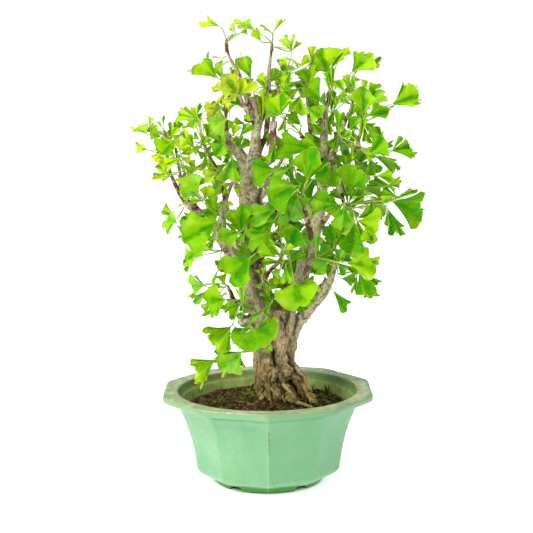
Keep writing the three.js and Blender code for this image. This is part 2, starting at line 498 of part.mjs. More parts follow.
    [359, 273, 366.6, 294, -34, -6, 58, 10, 0.18, 0.25],
    [341.6, 278.4, 355, 280, -18, -2, 68, 15, 0.08, 0.25],
    [333, 290.4, 346.6, 308, -26, -2, 38, 15, 0.06, 0.2]] },
  { from: [266, 350, -23], tip: [262.4, 350.4, -27], blades: [
    [215, 360, 195.6, 375, -38, 4, 54, 12, 0.3, 0.4],
    [241.4, 353, 226, 369.5, -52, -6, 88, 10, 0.22, 0.4],
    [256, 327, 249.6, 348.6, -50, -8, 146, 8, 0.28, 0.35]] },
  // sprays of the limbs behind, with drawn blades
  { from: [232, 178, 80], tip: [228.6, 171, 89.5], drawn: 3, reach: 26 },
  { from: [292, 188, 85], tip: [288.6, 183, 93.5], drawn: 3, reach: 30 },
  { from: [306, 204, 58], tip: [300, 210, 66], drawn: 3, reach: 24 },
  { from: [314, 253, 80], tip: [317.4, 247, 91.5], drawn: 3, reach: 28 },
  { from: [347, 148, 84], tip: [350.4, 141, 91.5], drawn: 3, reach: 28 },
  { from: [335, 166, 58], tip: [342, 172, 66], drawn: 3, reach: 26 },
  { from: [228, 235, 82], tip: [223.6, 231.6, 89.5], drawn: 3, reach: 26 },
  { from: [273, 98, 64], tip: [276.6, 91, 69.5], drawn: 3, reach: 22 },
  { from: [308, 91, 68], tip: [305.8, 83, 73], drawn: 3, reach: 24 },
  { from: [221, 124, 70], tip: [217.6, 119, 75.5], drawn: 3, reach: 24 },
];

const SEED = 11;
const DRAWN_SPAN = [62, 104]; // degrees
const DRAWN_LENGTH = [20, 30];
const DEPTH_STEPS = [0, 5, -5, 10, -10, 15, -15, 20, -20, 26, -26, 32, -32, 40, -40];

// A small generator of even draws in 0..1.
function drawsFrom(seed) {
  let state = seed;
  return () => {
    state = (state * 48271) % 2147483647;
    return state / 2147483647;
  };
}

function between([low, high], draw) {
  return low + (high - low) * draw;
}

// The frame of a blade: foot, axis, side, normal, length and half span.
function bladeOf(foot, edge, seenSpan, roll, cup, phase) {
  const axis = edge.clone().sub(foot);
  const length = axis.length();
  axis.normalize();
  const facing = EYE.clone().sub(foot).normalize();
  facing.addScaledVector(axis, -facing.dot(axis)).normalize();
  facing.applyAxisAngle(axis, roll);
  const side = facing.clone().cross(axis);
  const half = Math.atan2(Math.sin(seenSpan / 2), Math.cos(seenSpan / 2) * Math.cos(roll));
  return { foot, axis, side, normal: facing, length, half, cup, phase };
}

// A place on a blade: turn from -1 (one side edge) to 1 (the other), reach from 0 to 1.
function bladePoint(blade, turn, reach) {
  const { foot, axis, side, normal, length, half, cup, phase } = blade;
  const angle = turn * half;
  const notch = 0.16 * Math.exp(-((turn / 0.14) ** 2));
  const corner = 0.1 * turn ** 4;
  const wave = 0.03 * Math.sin(9 * turn + phase);
  const radius = length * reach * (1 - (notch + corner - wave) * reach * reach);
  const rise = cup * (turn * turn - 0.35) * radius * Math.min(half, 1)
    + 0.05 * length * reach * reach * Math.sin(4 * turn + phase)
    - 0.1 * length * reach * reach;
  return foot.clone()
    .addScaledVector(axis, radius * Math.cos(angle))
    .addScaledVector(side, radius * Math.sin(angle))
    .addScaledVector(normal, rise);
}

// Rows along a leaf from the bud outwards: the petiole's cross-sections, then the blade's arcs.
// A row has its places, its half thickness and the normal that both faces stand along.
function leafRows(blade, path) {
  const run = path.getLength();
  const bent = run / path.v0.distanceTo(path.v3);
  let steps = run < SHORT_PETIOLE && bent < STRAIGHT ? 1 : 2;
  if (run > LONG_PETIOLE) steps = 3;
  const stalk = Array.from({ length: steps }, (_, i) => {
    const along = path.getTangent(i / steps);
    const side = blade.side.clone().addScaledVector(along, -blade.side.dot(along));
    if (side.length() < 0.3) side.copy(blade.normal).cross(along);
    side.normalize();
    const centre = path.getPoint(i / steps);
    const places = [-1, 1].map((turn) => (
      centre.clone().addScaledVector(side, turn * PETIOLE_RADIUS)));
    return { places, half: PETIOLE_RADIUS * 0.75, normal: along.clone().cross(side) };
  });
  const across = (count, reach) => ({
    places: Array.from({ length: count + 1 }, (_, i) => (
      bladePoint(blade, 2 * i / count - 1, reach))),
    half: BLADE_THICKNESS / 2,
    normal: blade.normal,
  });
  const foot = {
    places: [-1, 1].map((turn) => (
      blade.foot.clone().addScaledVector(blade.side, turn * PETIOLE_RADIUS))),
    half: PETIOLE_RADIUS * 0.6,
    normal: blade.normal,
  };
  const rows = [...stalk, foot];
  if (blade.length > LARGE_BLADE) rows.push(across(2, 0.5));
  rows.push(across(blade.length < SMALL_BLADE ? 4 : 6, 1));
  return rows;
}

// A closed leaf skinned over its rows, both faces split alike.
function leafSolid(blade, path) {
  const rows = leafRows(blade, path);
  const starts = [];
  const tops = [];
  const unders = [];
  rows.forEach(({ places, half, normal }) => {
    starts.push(tops.length);
    tops.push(...places.map((place) => place.clone().addScaledVector(normal, half)));
    unders.push(...places.map((place) => place.clone().addScaledVector(normal, -half)));
  });
  const count = tops.length;
  const positions = [...tops, ...unders].flatMap((place) => [place.x, place.y, place.z]);
  const index = [];
  const face = (a, b, c) => {
    index.push(a, b, c);
    index.push(a + count, c + count, b + count);
  };
  for (let r = 0; r + 1 < rows.length; r += 1) {
    const low = rows[r].places.length - 1;
    const high = rows[r + 1].places.length - 1;
    let i = 0;
    let j = 0;
    while (i < low || j < high) {
      const a = starts[r] + i;
      const b = starts[r + 1] + j;
      if (i === low || (j < high && (j + 0.5) / high < (i + 0.5) / low)) {
        face(a, b, b + 1);
        j += 1;
      } else {
        face(a, b, a + 1);
        i += 1;
      }
    }
  }
  const outer = rows.length - 1;
  const left = starts.slice(0, outer);
  const edge = rows[outer].places.map((_, j) => starts[outer] + j);
  const right = left.map((start, r) => start + rows[r].places.length - 1).reverse();
  const rim = [...left, ...edge, ...right];
  rim.forEach((a, k) => {
    const b = rim[(k + 1) % rim.length];
    index.push(a, a + count, b + count, a, b + count, b);
  });
  const geometry = new THREE.BufferGeometry();
  geometry.setAttribute('position', new THREE.Float32BufferAttribute(positions, 3));
  geometry.setIndex(index);
  return solid(geometry);
}

// The petiole's path, fanning out of the bud and meeting the blade along its axis.
function petiolePath(start, heading, blade) {
  const gap = blade.foot.distanceTo(start);
  const toward = blade.foot.clone().sub(start).normalize();
  const back = Math.max(0, -toward.dot(heading));
  const lead = toward.multiplyScalar(0.8).addScaledVector(heading, 0.6 + back).normalize();
  return new THREE.CubicBezierCurve3(
    start,
    start.clone().addScaledVector(lead, 0.32 * gap),
    blade.foot.clone().addScaledVector(blade.axis, -0.3 * gap),
    blade.foot.clone(),
  );
}

// Sample places of a blade and of its petiole past the bud.
function samplesOf(blade, path) {
  const points = [];
  const rings = Math.max(2, Math.ceil(blade.length / SAMPLE_STEP));
  for (let r = 1; r <= rings; r += 1) {
    const reach = r / rings;
    const steps = Math.max(2, Math.ceil(2 * blade.half * blade.length * reach / SAMPLE_STEP));
    for (let i = 0; i <= steps; i += 1) {
      points.push(bladePoint(blade, 2 * i / steps - 1, reach));
    }
  }
  const stalk = [];
  const run = path.v0.distanceTo(path.v3);
  const stalkSteps = Math.ceil(run * 1.15 / SAMPLE_STEP);
  for (let i = 1; i <= stalkSteps; i += 1) {
    const point = path.getPoint(i / stalkSteps);
    if (point.distanceTo(path.v0) > 9) stalk.push(point);
  }
  return { points, stalk };
}

// How many samples come too near to what already stands.
function crowding(samples, taken, own, wood) {
  let count = 0;
  const clear = BLADE_CLEARANCE ** 2;
  const all = [...samples.points, ...samples.stalk];
  all.forEach((point) => {
    let hit = 0;
    for (const [other, sprayIndex, onBlade] of taken) {
      if (Math.abs(other.x - point.x) > BLADE_CLEARANCE) continue;
      if (Math.abs(other.z - point.z) > BLADE_CLEARANCE) continue;
      if (other.distanceToSquared(point) >= clear) continue;
      if (sprayIndex !== own) hit = 1000;
      else if (onBlade) hit = Math.max(hit, 1);
      if (hit === 1000) break;
    }
    if (hit < 1000) {
      for (const [centre, radius] of wood) {
        if (centre.distanceToSquared(point) < (radius + 2.2) ** 2) {
          hit = 1000;
          break;
        }
      }
    }
    count += hit;
  });
  return count;
}

// Sample balls along every limb and spur.
function woodBalls(limbs) {
  return limbs.flatMap((path) => path.slice(1).flatMap(([end, endRadius], i) => {
    const [start, startRadius] = path[i];
    const steps = Math.max(1, Math.ceil(start.distanceTo(end) / 4));
    return Array.from({ length: steps }, (_, k) => {
      const t = (k + 1) / steps;
      return [start.clone().lerp(end, t), startRadius + (endRadius - startRadius) * t];
    });
  }));
}

// Foot and edge of a drawn blade around its spur, mostly on the side away from the front.
function drawnBlade(tip, heading, reach, draw) {
  const angle = 2 * Math.PI * draw();
  const spread = 0.5 + 0.5 * draw();
  const radial = new THREE.Vector3(Math.cos(angle), 0.55 * draw(), Math.sin(angle));
  const foot = tip.clone()
    .addScaledVector(heading, 12 + 10 * draw())
    .addScaledVector(radial, reach * 0.7 * spread);
  foot.y += 4 + 16 * draw();
  const out = radial.clone();
  out.y += 0.4 * draw();
  out.z -= 0.5 * draw();
  out.normalize();
  const edge = foot.clone().addScaledVector(out, between(DRAWN_LENGTH, draw()));
  const span = THREE.MathUtils.degToRad(between(DRAWN_SPAN, draw()));
  const roll = THREE.MathUtils.degToRad(120 * (draw() - 0.5));
  return { foot, edge, span, roll, tone: 0.1 + 0.4 * draw(), cup: 0.2 + 0.2 * draw() };
}

function settledSprays(wood) {
  const draw = drawsFrom(SEED);
  const taken = [];
  return SPRAYS.map((spray, own) => {
    const from = onSheet(...spray.from);
    const tip = onSheet(...spray.tip);
    const heading = tip.clone().sub(from).normalize();
    const bud = tip.clone().addScaledVector(heading, GAP + BUD_LENGTH / 2);
    const rows = spray.blades ?? Array.from({ length: spray.drawn });
    const leaves = [];
    rows.forEach((row) => {
      const phase = 2 * Math.PI * draw();
      const rollSign = draw() < 0.5 ? -1 : 1;
      let plan;
      if (row) {
        const [u, v, edgeU, edgeV, depth, lean, span, roll, tone, cup] = row;
        plan = {
          foot: onSheet(u, v, depth),
          edge: onSheet(edgeU, edgeV, depth + lean),
          span: THREE.MathUtils.degToRad(span),
          roll: THREE.MathUtils.degToRad(roll) * rollSign,
          tone,
          cup,
        };
      } else {
        plan = drawnBlade(tip, heading, spray.reach, draw);
      }
      let best = null;
      for (const depth of DEPTH_STEPS) {
        const foot = pushed(plan.foot, depth);
        const edge = pushed(plan.edge, depth);
        const blade = bladeOf(foot, edge, plan.span, plan.roll, plan.cup, phase);
        const path = petiolePath(bud, heading, blade);
        const samples = samplesOf(blade, path);
        const crowd = crowding(samples, taken, own, wood);
        if (!best || crowd < best.crowd) best = { blade, path, samples, crowd, tone: plan.tone };
        if (crowd === 0) break;
      }
      if (!row && best.crowd >= 1000) return;
      best.samples.points.forEach((point) => taken.push([point, own, true]));
      best.samples.stalk.forEach((point) => taken.push([point, own, false]));
      leaves.push(best);
    });
    return { tip, heading, leaves };
  });
}

function sprayBody({ tip, heading, leaves }) {
  const bud = new THREE.CylinderGeometry(BUD_RADIUS * 0.7, BUD_RADIUS, BUD_LENGTH, 5);
  bud.translate(0, BUD_LENGTH / 2 + GAP, 0);
  bud.applyQuaternion(new THREE.Quaternion().setFromUnitVectors(new THREE.Vector3(0, 1, 0), heading));
  bud.translate(tip.x, tip.y, tip.z);
  const pieces = [solid(bud)];
  leaves.forEach(({ blade, path }) => pieces.push(leafSolid(blade, path)));
  return largest(union(pieces));
}

// ---------------------------------------------------------------- the soil
function soilBody() {
  const fill = WALL_PROFILE.filter(([, height]) => height <= SOIL_EDGE)
    .map(([radius, height]) => [radius - GAP, height]);
  const [, floor] = [fill.pop(), FLOOR_LEVEL];
  const mound = [0.82, 0.6, 0.4].map((part) => {
    const radius = fill[0][0] * part;
    return [radius, SOIL_EDGE + SOIL_MOUND * Math.exp(-((radius / 52) ** 2))];
  });
  const profile = [
    [0, floor + GAP],
    [78 - GAP, floor + GAP],
    ...fill.toReversed(),
    ...mound,
    [0, SOIL_EDGE + SOIL_MOUND],
  ];
  let body = solid(turned(profile, ROUND_SEGMENTS));
  body = body.subtract(solid(limb(placed(BUTT), LIMB_SIDES, GAP * 1.4)));
  ROOTS.forEach((path) => {
    body = body.subtract(solid(limb(placed(path), ROOT_SIDES, GAP * 1.4)));
  });
  return largest(body);
}

// ---------------------------------------------------------------- the whole
const DEEP_GREEN = new THREE.Color(0x3f9c12);
const YELLOW_GREEN = new THREE.Color(0xb9cf1c);

const trunkPaths = [BUTT, ...TRUNKS].map(placed);
const rootPaths = ROOTS.map(placed);
const branchPaths = BRANCHES.map(placed);
const spurPaths = SPRAYS.map(({ from, tip }) => [
  [onSheet(...from), SPUR_RADIUS],
  [onSheet(...tip), SPUR_RADIUS],
]);
const sprays = settledSprays(woodBalls([...trunkPaths, ...rootPaths, ...branchPaths, ...spurPaths]));

const wood = largest(union([
  ...trunkPaths.map((path) => solid(limb(path, LIMB_SIDES))),
  ...rootPaths.map((path) => solid(limb(path, ROOT_SIDES))),
  ...branchPaths.map((path) => solid(limb(path, sidesFor(path)))),
  ...spurPaths.map((path) => solid(limb(path, TWIG_SIDES))),
]));

const tree = new THREE.Group();
tree.name = 'ginkgo_bonsai';
tree.add(meshOf(potBody(), 'pot', 0x9ed8ae, 0.45));
tree.add(meshOf(soilBody(), 'soil', 0x4a3524, 0.95));
tree.add(meshOf(wood, 'tree_wood', 0x93836a, 0.85));
sprays.forEach((spray, i) => {
  const tone = spray.leaves.reduce((sum, leaf) => sum + leaf.tone, 0) / spray.leaves.length;
  const colour = DEEP_GREEN.clone().lerp(YELLOW_GREEN, tone);
  const name = `leaf_spray_${String(i + 1).padStart(2, '0')}`;
  tree.add(meshOf(sprayBody(spray), name, colour, 0.55));
});

// Centre the whole over the origin, standing on its feet.
const bounds = new THREE.Box3().setFromObject(tree);
const middle = bounds.getCenter(new THREE.Vector3());
tree.children.forEach((mesh) => mesh.geometry.translate(-middle.x, -middle.y, -bounds.min.z));

export default tree;
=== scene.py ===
"""The looks of a ginkgo bonsai in a ten-sided glazed pot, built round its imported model.

Places are in millimetres about the pot's axis on the ground, with +Z up and the front
towards -Y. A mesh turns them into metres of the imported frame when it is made.
"""
import itertools
import math
from dataclasses import dataclass

import bmesh
import bpy
import numpy as np
from mathutils import Matrix, Vector
from mathutils.bvhtree import BVHTree


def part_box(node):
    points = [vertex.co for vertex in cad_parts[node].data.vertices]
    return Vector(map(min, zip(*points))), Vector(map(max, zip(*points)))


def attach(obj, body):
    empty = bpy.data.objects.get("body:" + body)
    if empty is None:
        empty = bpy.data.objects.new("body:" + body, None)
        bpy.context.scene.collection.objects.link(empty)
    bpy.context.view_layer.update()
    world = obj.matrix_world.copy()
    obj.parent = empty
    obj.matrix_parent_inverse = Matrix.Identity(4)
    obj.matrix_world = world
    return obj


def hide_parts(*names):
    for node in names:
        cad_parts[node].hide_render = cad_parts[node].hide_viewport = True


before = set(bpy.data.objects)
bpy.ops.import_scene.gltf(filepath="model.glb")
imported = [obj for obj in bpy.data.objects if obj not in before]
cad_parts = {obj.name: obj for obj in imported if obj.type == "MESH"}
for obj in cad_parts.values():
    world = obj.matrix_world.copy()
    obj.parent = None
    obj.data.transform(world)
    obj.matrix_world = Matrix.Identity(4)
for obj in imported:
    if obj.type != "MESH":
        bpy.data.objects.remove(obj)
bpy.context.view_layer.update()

bl_info = {
    "name": "Ginkgo Bonsai Looks",
    "version": (1, 0, 0),
    "blender": (4, 5, 0),
    "location": "3D View > Sidebar > Bonsai",
    "description": "Builds the glazed pot, soil, wood and leaves of a ginkgo bonsai",
    "category": "Add Mesh",
}

MM = 0.001
POT_LOW, POT_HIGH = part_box("pot")
POT_AXIS = np.array([(POT_LOW.x + POT_HIGH.x) / 2, (POT_LOW.y + POT_HIGH.y) / 2, POT_LOW.z])

# ------------------------------------------------------------------ sizes in millimetres
POT_HEIGHT = 122.2
POT_SIDES = 10
FOOT_HEIGHT = 11
FOOT_RADIUS = 72
FOOT_INNER = 62
FOOT_COUNT = 5
ARCH_WIDTH = 20
ARCH_RISE = 7.6
FLOOR_LEVEL = 20
DRAIN_RADIUS = 9
DRAIN_OFFSET = 34
DRAIN_COUNT = 3
SOIL_EDGE = 95
SOIL_MOUND = 18
MOUND_SPREAD = 52

GAP = 0.35
BLADE_CLEARANCE = 4.6
WOOD_CLEARANCE = 2.2
SAMPLE_STEP = 5
BUD_LENGTH = 6
BUD_RADIUS = 1.75
SPUR_RADIUS = 2.1
GROWTH = 1.05  # a finished blade is this much longer than the plain one that it is settled by

# ------------------------------------------------------------------ the front sheet
# Tree points are laid out on a front sheet: u to the right, v downwards, in sheet units of
# about 1.3 mm, and a depth in mm behind the pot's axis. The sheet is drawn in perspective
# as seen from EYE, so a point keeps its place on it at any depth.
EYE = np.array([0.0, -1700.0, 529.0])
SHEET_PITCH = math.radians(8.15)
SHEET_ROLL = math.radians(-0.53)
SHEET_FOCUS = 1309
SHEET_CENTRE = 266.5
SHEET_SIZE = 533
SHEET_UNIT = 1.3  # mm that a sheet unit spans on the trunk
FRONT_SPREAD = 1.55  # depths in front of the pot's axis are drawn out by this


def on_sheet(u, v, depth):
    du = u - SHEET_CENTRE
    dv = v - SHEET_CENTRE
    across = du * math.cos(SHEET_ROLL) + dv * math.sin(SHEET_ROLL)
    down = -du * math.sin(SHEET_ROLL) + dv * math.cos(SHEET_ROLL)
    sight = np.array([
        across,
        SHEET_FOCUS * math.cos(SHEET_PITCH) - down * math.sin(SHEET_PITCH),
        -SHEET_FOCUS * math.sin(SHEET_PITCH) - down * math.cos(SHEET_PITCH),
    ])
    behind = depth * FRONT_SPREAD if depth < 0 else depth
    return EYE + sight * ((behind - EYE[1]) / sight[1])


def sheet_places(points):
    """The sheet places [u, v] at which points are seen."""
    sight = points - EYE
    ahead = sight[:, 1] * math.cos(SHEET_PITCH) - sight[:, 2] * math.sin(SHEET_PITCH)
    up = sight[:, 1] * math.sin(SHEET_PITCH) + sight[:, 2] * math.cos(SHEET_PITCH)
    across, down = sight[:, 0] / ahead * SHEET_FOCUS, -up / ahead * SHEET_FOCUS
    return np.column_stack([
        SHEET_CENTRE + across * math.cos(SHEET_ROLL) - down * math.sin(SHEET_ROLL),
        SHEET_CENTRE + across * math.sin(SHEET_ROLL) + down * math.cos(SHEET_ROLL)])


def segment_distance(places, start, end):
    """Distance of each place from the straight line between two."""
    start, run = np.array(start), np.array(end) - np.array(start)
    share = np.clip((places - start) @ run / (run @ run), 0, 1)
    return np.linalg.norm(places - start - share[:, None] * run, axis=1)


def pushed(point, depth):
    """The same sheet place, moved back by a depth."""
    sight = point - EYE
    return point + sight * (depth / sight[1])


def unit(vector):
    length = np.linalg.norm(vector)
    return vector / length if length else vector


def units(vectors):
    return vectors / np.linalg.norm(vectors, axis=1)[:, None]


def turns_of(count):
    """Even turns round a full circle."""
    return np.arange(count) * 2 * math.pi / count


def outward(turn):
    """The level direction at a turn about the pot's axis."""
    return np.array([math.cos(turn), math.sin(turn), 0])


# ------------------------------------------------------------------ meshes
class Shape:
    """Points, faces and per-point marks gathered for one mesh."""

    def __init__(self):
        self.points = []
        self.faces = []
        self.finishes = []
        self.marks = []
        self.count = 0

    def add(self, points, faces, finish=0, **marks):
        points = np.asarray(points, float).reshape(-1, 3)
        self.faces += [[i + self.count for i in face] for face in faces]
        self.finishes += [finish] * len(faces)
        self.marks.append((self.count, len(points), marks))
        self.points.append(points)
        self.count += len(points)

    def tube(self, line, sides, finish=0, **marks):
        """Adds a closed tube along a line of [x, y, z, radius]."""
        self.add(swept(line, sides), tube_faces(len(line), sides), finish, **marks)

    def mesh(self, name):
        mesh = bpy.data.meshes.new(name)
        mesh.from_pydata((np.concatenate(self.points) * MM + POT_AXIS).tolist(), [], self.faces)
        mesh.polygons.foreach_set("use_smooth", [True] * len(self.faces))
        mesh.polygons.foreach_set("material_index", self.finishes)
        for mark in sorted({key for _, _, marks in self.marks for key in marks}):
            values = np.zeros(self.count, np.float32)
            for start, count, marks in self.marks:
                values[start:start + count] = marks.get(mark, 0)
            mark_points(mesh, mark, values)
        mesh.update()
        return mesh

    def piece(self, name, *materials):
        return piece_of(self.mesh(name), name, *materials)


def mark_points(mesh, name, values):
    """Gives each point of a mesh a number that its material reads."""
    mesh.attributes.new(name, "FLOAT", "POINT").data.foreach_set(
        "value", np.asarray(values, np.float32))


def piece_of(mesh, name, *materials):
    for material in materials:
        mesh.materials.append(material)
    piece = bpy.data.objects.new(name, mesh)
    bpy.context.scene.collection.objects.link(piece)
    return piece


def dress(piece, slot, *nodes):
    """Puts a finished piece on the frame, in place of the nodes that it stands for."""
    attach(piece, "root")
    if nodes:
        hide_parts(*nodes)


def grid_faces(rows, columns, closed=False):
    """Quads over rows of points, all facing the same way, joined round where closed."""
    faces = []
    for row in range(rows - 1):
        for column in range(columns if closed else columns - 1):
            a = row * columns + column
            b = row * columns + (column + 1) % columns
            faces.append((a, b, b + columns, a + columns))
    return faces


def tube_faces(rings, sides):
    """A closed tube over rings of points."""
    last = (rings - 1) * sides
    return grid_faces(rings, sides, True) + [
        tuple(range(sides))[::-1], tuple(range(last, last + sides))]


def lattice_noise(points, seed=0):
    """Smooth noise from -1 to 1, with one lattice cell to a unit."""
    points = np.asarray(points, float)
    cell = np.floor(points).astype(np.int64)
    part = points - cell
    part = part * part * (3 - 2 * part)
    total = np.zeros(len(points))
    for corner in itertools.product((0, 1), repeat=3):
        at = cell + np.array(corner)
        mix = at[:, 0] * 73856093 + at[:, 1] * 19349663 + at[:, 2] * 83492791 + seed * 2654435761
        mix = (mix ^ (mix >> 13)) * 1274126177
        mix = mix ^ (mix >> 16)
        value = (mix & 0xFFFF) / 32767.5 - 1
        total += value * np.prod(np.where(corner, part, 1 - part), axis=1)
    return total


def layered_noise(points, layers, seed=0):
    """Noise of several sizes, each half as strong and twice as fine as the one before."""
    total = 0
    for layer in range(layers):
        total = total + lattice_noise(points * 2 ** layer, seed + layer) / 2 ** layer
    return total


def draws_from(seed):
    """A small generator of even draws in 0..1."""
    state = seed
    while True:
        state = state * 48271 % 2147483647
        yield state / 2147483647


def smoothed(path, step):
    """A smooth line of [x, y, z, radius] through a path's places, a step apart."""
    path = np.array(path, float)
    before = np.vstack([2 * path[0] - path[1], path[:-2], path[-2]])
    ends = np.vstack([path, 2 * path[-1] - path[-2]])
    line = []
    for i in range(len(path) - 1):
        p0, p1, p2, p3 = before[i], path[i], path[i + 1], ends[i + 2]
        count = max(1, round(np.linalg.norm(p2[:3] - p1[:3]) / step))
        for t in np.arange(count) / count:
            line.append(0.5 * (
                2 * p1 + (p2 - p0) * t + (2 * p0 - 5 * p1 + 4 * p2 - p3) * t * t
                + (3 * p1 - p0 - 3 * p2 + p3) * t ** 3))
    line.append(path[-1])
    return np.array(line)


def swept(line, sides):
    """Rings of points square to a line of [x, y, z, radius], as one array."""
    centres = line[:, :3]
    along = units(np.gradient(centres, axis=0))
    side = np.cross([1.0, 0.0, 0.0], along[0])
    if np.linalg.norm(side) < 0.3:
        side = np.cross([0.0, 1.0, 0.0], along[0])
    turns = turns_of(sides)
    rings = []
    for centre, ahead, radius in zip(centres, along, line[:, 3]):
        side = unit(side - ahead * (side @ ahead))
        other = np.cross(ahead, side)
        rings.append(centre + radius * (
            np.cos(turns)[:, None] * side + np.sin(turns)[:, None] * other))
    return np.array(rings)


# ------------------------------------------------------------------ shader maths
class Value:
    """A shader socket that is used in sums and products as a number is."""

    def __init__(self, shader, socket):
        self.shader = shader
        self.socket = socket

    def math(self, operation, *values):
        return self.shader.node(
            "ShaderNodeMath", {"operation": operation}, dict(enumerate(values)))

    def __add__(self, other):
        return self.math("ADD", self, other)

    def __radd__(self, other):
        return self.math("ADD", other, self)

    def __sub__(self, other):
        return self.math("SUBTRACT", self, other)

    def __rsub__(self, other):
        return self.math("SUBTRACT", other, self)

    def __mul__(self, other):
        return self.math("MULTIPLY", self, other)

    def __rmul__(self, other):
        return self.math("MULTIPLY", other, self)

    def __pow__(self, other):
        return self.math("POWER", self, other)

    def sine(self):
        return self.math("SINE", self)

    def size(self):
        return self.math("ABSOLUTE", self)

    def lower(self, other):
        return self.math("MINIMUM", self, other)

    def higher(self, other):
        return self.math("MAXIMUM", self, other)

    def between(self, low, high):
        """0 below low, 1 above high and a smooth step in between; high may be the lower one."""
        return self.shader.node(
            "ShaderNodeMapRange", {"interpolation_type": "SMOOTHSTEP"},
            {"Value": self, "From Min": low, "From Max": high})


class Finish:
    """A material built from its nodes, ending in one coated or plain surface."""

    def __init__(self, name):
        self.material = bpy.data.materials.new(name)
        self.material.use_nodes = True
        self.tree = self.material.node_tree
        self.tree.nodes.clear()
        self.base = None
        self.place = self.node(
            "ShaderNodeVectorMath", {"operation": "SUBTRACT"},
            {0: self.node("ShaderNodeTexCoord", output="Object"), 1: tuple(POT_AXIS)})

    def node(self, kind, settings=None, sockets=None, output=0):
        """Adds a node: its settings first, then its sockets' values or links."""
        node = self.tree.nodes.new(kind)
        for key, setting in (settings or {}).items():
            if key == "stops":
                elements = node.color_ramp.elements
                while len(elements) < len(setting):
                    elements.new(1)
                for element, (position, colour) in zip(elements, setting):
                    element.position = position
                    element.color = (*colour, 1)
            else:
                setattr(node, key, setting)
        for key, value in (sockets or {}).items():
            if isinstance(value, Value):
                self.tree.links.new(value.socket, node.inputs[key])
            elif isinstance(value, tuple) and node.inputs[key].type == "RGBA":
                node.inputs[key].default_value = (*value, 1)
            else:
                node.inputs[key].default_value = value
        return None if output is None else Value(self, node.outputs[output])

    def mark(self, name):
        return self.node("ShaderNodeAttribute", {"attribute_name": name}, output="Fac")

    def stretched(self, x, y, z, place=None):
        """A place, scaled along each axis, with x, y and z in cells to a metre."""
        return self.node(
            "ShaderNodeVectorMath", {"operation": "MULTIPLY"},
            {0: place or self.place, 1: (x, y, z)})

    def noise(self, scale, detail=2, roughness=0.5, place=None):
        return self.node(
            "ShaderNodeTexNoise", None,
            {"Vector": place or self.place, "Scale": scale, "Detail": detail,
             "Roughness": roughness}, "Fac")

    def cells(self, scale, place=None, output="Distance"):
        return self.node(
            "ShaderNodeTexVoronoi", None, {"Vector": place or self.place, "Scale": scale}, output)

    def axis(self, name):
        """One coordinate of the place, in metres."""
        return self.node("ShaderNodeSeparateXYZ", None, {0: self.place}, name)

    def blend(self, factor, low, high):
        """A colour between low and high."""
        return self.node(
            "ShaderNodeMix", {"data_type": "RGBA", "clamp_factor": True},
            {0: factor, 6: low, 7: high}, 2)

    def coat(self, mask, colour):
        """Lays a colour over the base, as thickly as the mask says."""
        self.base = self.blend(mask, self.base, colour)

    def ramp(self, factor, *stops):
        return self.node("ShaderNodeValToRGB", {"stops": stops}, {0: factor})

    def bump(self, height, distance, strength=1.0):
        return self.node(
            "ShaderNodeBump", None,
            {"Height": height, "Distance": distance, "Strength": strength})

    def surface(self, roughness, normal=None, **constants):
        """Ends the material; constants are sockets of the surface, with _ for a space."""
        sockets = {"Base Color": self.base, "Roughness": roughness}
        if normal:
            sockets["Normal"] = normal
        sockets.update({key.replace("_", " "): value for key, value in constants.items()})
        surface = self.node("ShaderNodeBsdfPrincipled", None, sockets)
        self.node("ShaderNodeOutputMaterial", None, {"Surface": surface}, None)
        return self.material


# ------------------------------------------------------------------ the tree's paths
def rows_of(text):
    """The rows of a text table, parted by commas, as lists of numbers."""
    return [[float(number) for number in row.split()] for row in text.split(",")]


def paths_of(text):
    """The paths of a text table, parted by semicolons, as lists of rows."""
    return [rows_of(path) for path in text.split(";")]


def sprays_of(text):
    """Sprays of a text table: each one's first row holds its spur's start and tip."""
    return [{"from": spur[:3], "tip": spur[3:], "blades": blades}
            for spur, *blades in paths_of(text)]


# Limbs and roots: u, v, depth and radius in mm
BUTT = rows_of("""
  278 440 8 12, 278 424 8 25, 277.5 410 8 33, 277 397 8 30, 274.5 376 8 27.5, 274 357 8 27.5,
  275.5 340 8 28, 277 325 8 25, 278 308 9 17
""")

ROOTS = paths_of("""
  286 366 2 9, 297 374 -2 7.6, 305 384 -4 6.2, 312 395 -6 5.6, 320 407 -8 4.8, 330 420 -10 3;
  283 378 -14 7, 290 389 -21 5, 296 399 -25 4.2, 301 411 -28 3;
  286 396 -14 6, 298 402 -16 4.6, 310 407 -14 3.8, 322 416 -12 2.6;
  264 380 -4 11, 259 396 -7 11, 253 410 -10 8, 246 422 -12 4;
  270 388 26 10, 262 398 42 7.5, 254 408 58 5, 248 417 68 3;
  288 388 24 9, 299 398 40 6.6, 309 407 54 4.6, 316 416 64 3
""")

# The trunk's foot and the roots as their bark shows them, slimmer towards their ends
BARK_BUTT = rows_of("""
  278 440 8 10, 278 424 8 20, 279 410 8 25, 278.4 397 8 26.4, 276 385 8 27.4
""") + BUTT[4:]
BARK_ROOTS = paths_of("""
  285 364 2 8.6, 293 369 -1 7.2, 300.5 377 -4 6, 306 386 -7 4.8, 310.5 394 -10 4.2, 315 402 -12 3.3,
  319 408 -6 2.4;
  281 379 -4 3.2, 284 385 -13 2.5, 288.4 390 -17 2.3, 292 395 -19 2.2, 294.6 398.6 -19 2,
  297 404 -12 1.5;
  286 398 -14 3.2, 297 402.5 -17 3, 309 406.5 -17 2.6, 320 413 -15 2;
  266 380 -2 6, 264 392 -4 6, 261 404 -6 5, 257 416 -8 3
""") + ROOTS[4:]

# Old wood between the roots
FLARE = rows_of("""
  284 366 6 16, 289 378 4 15, 295 390 2 12, 300 402 0 9
""")

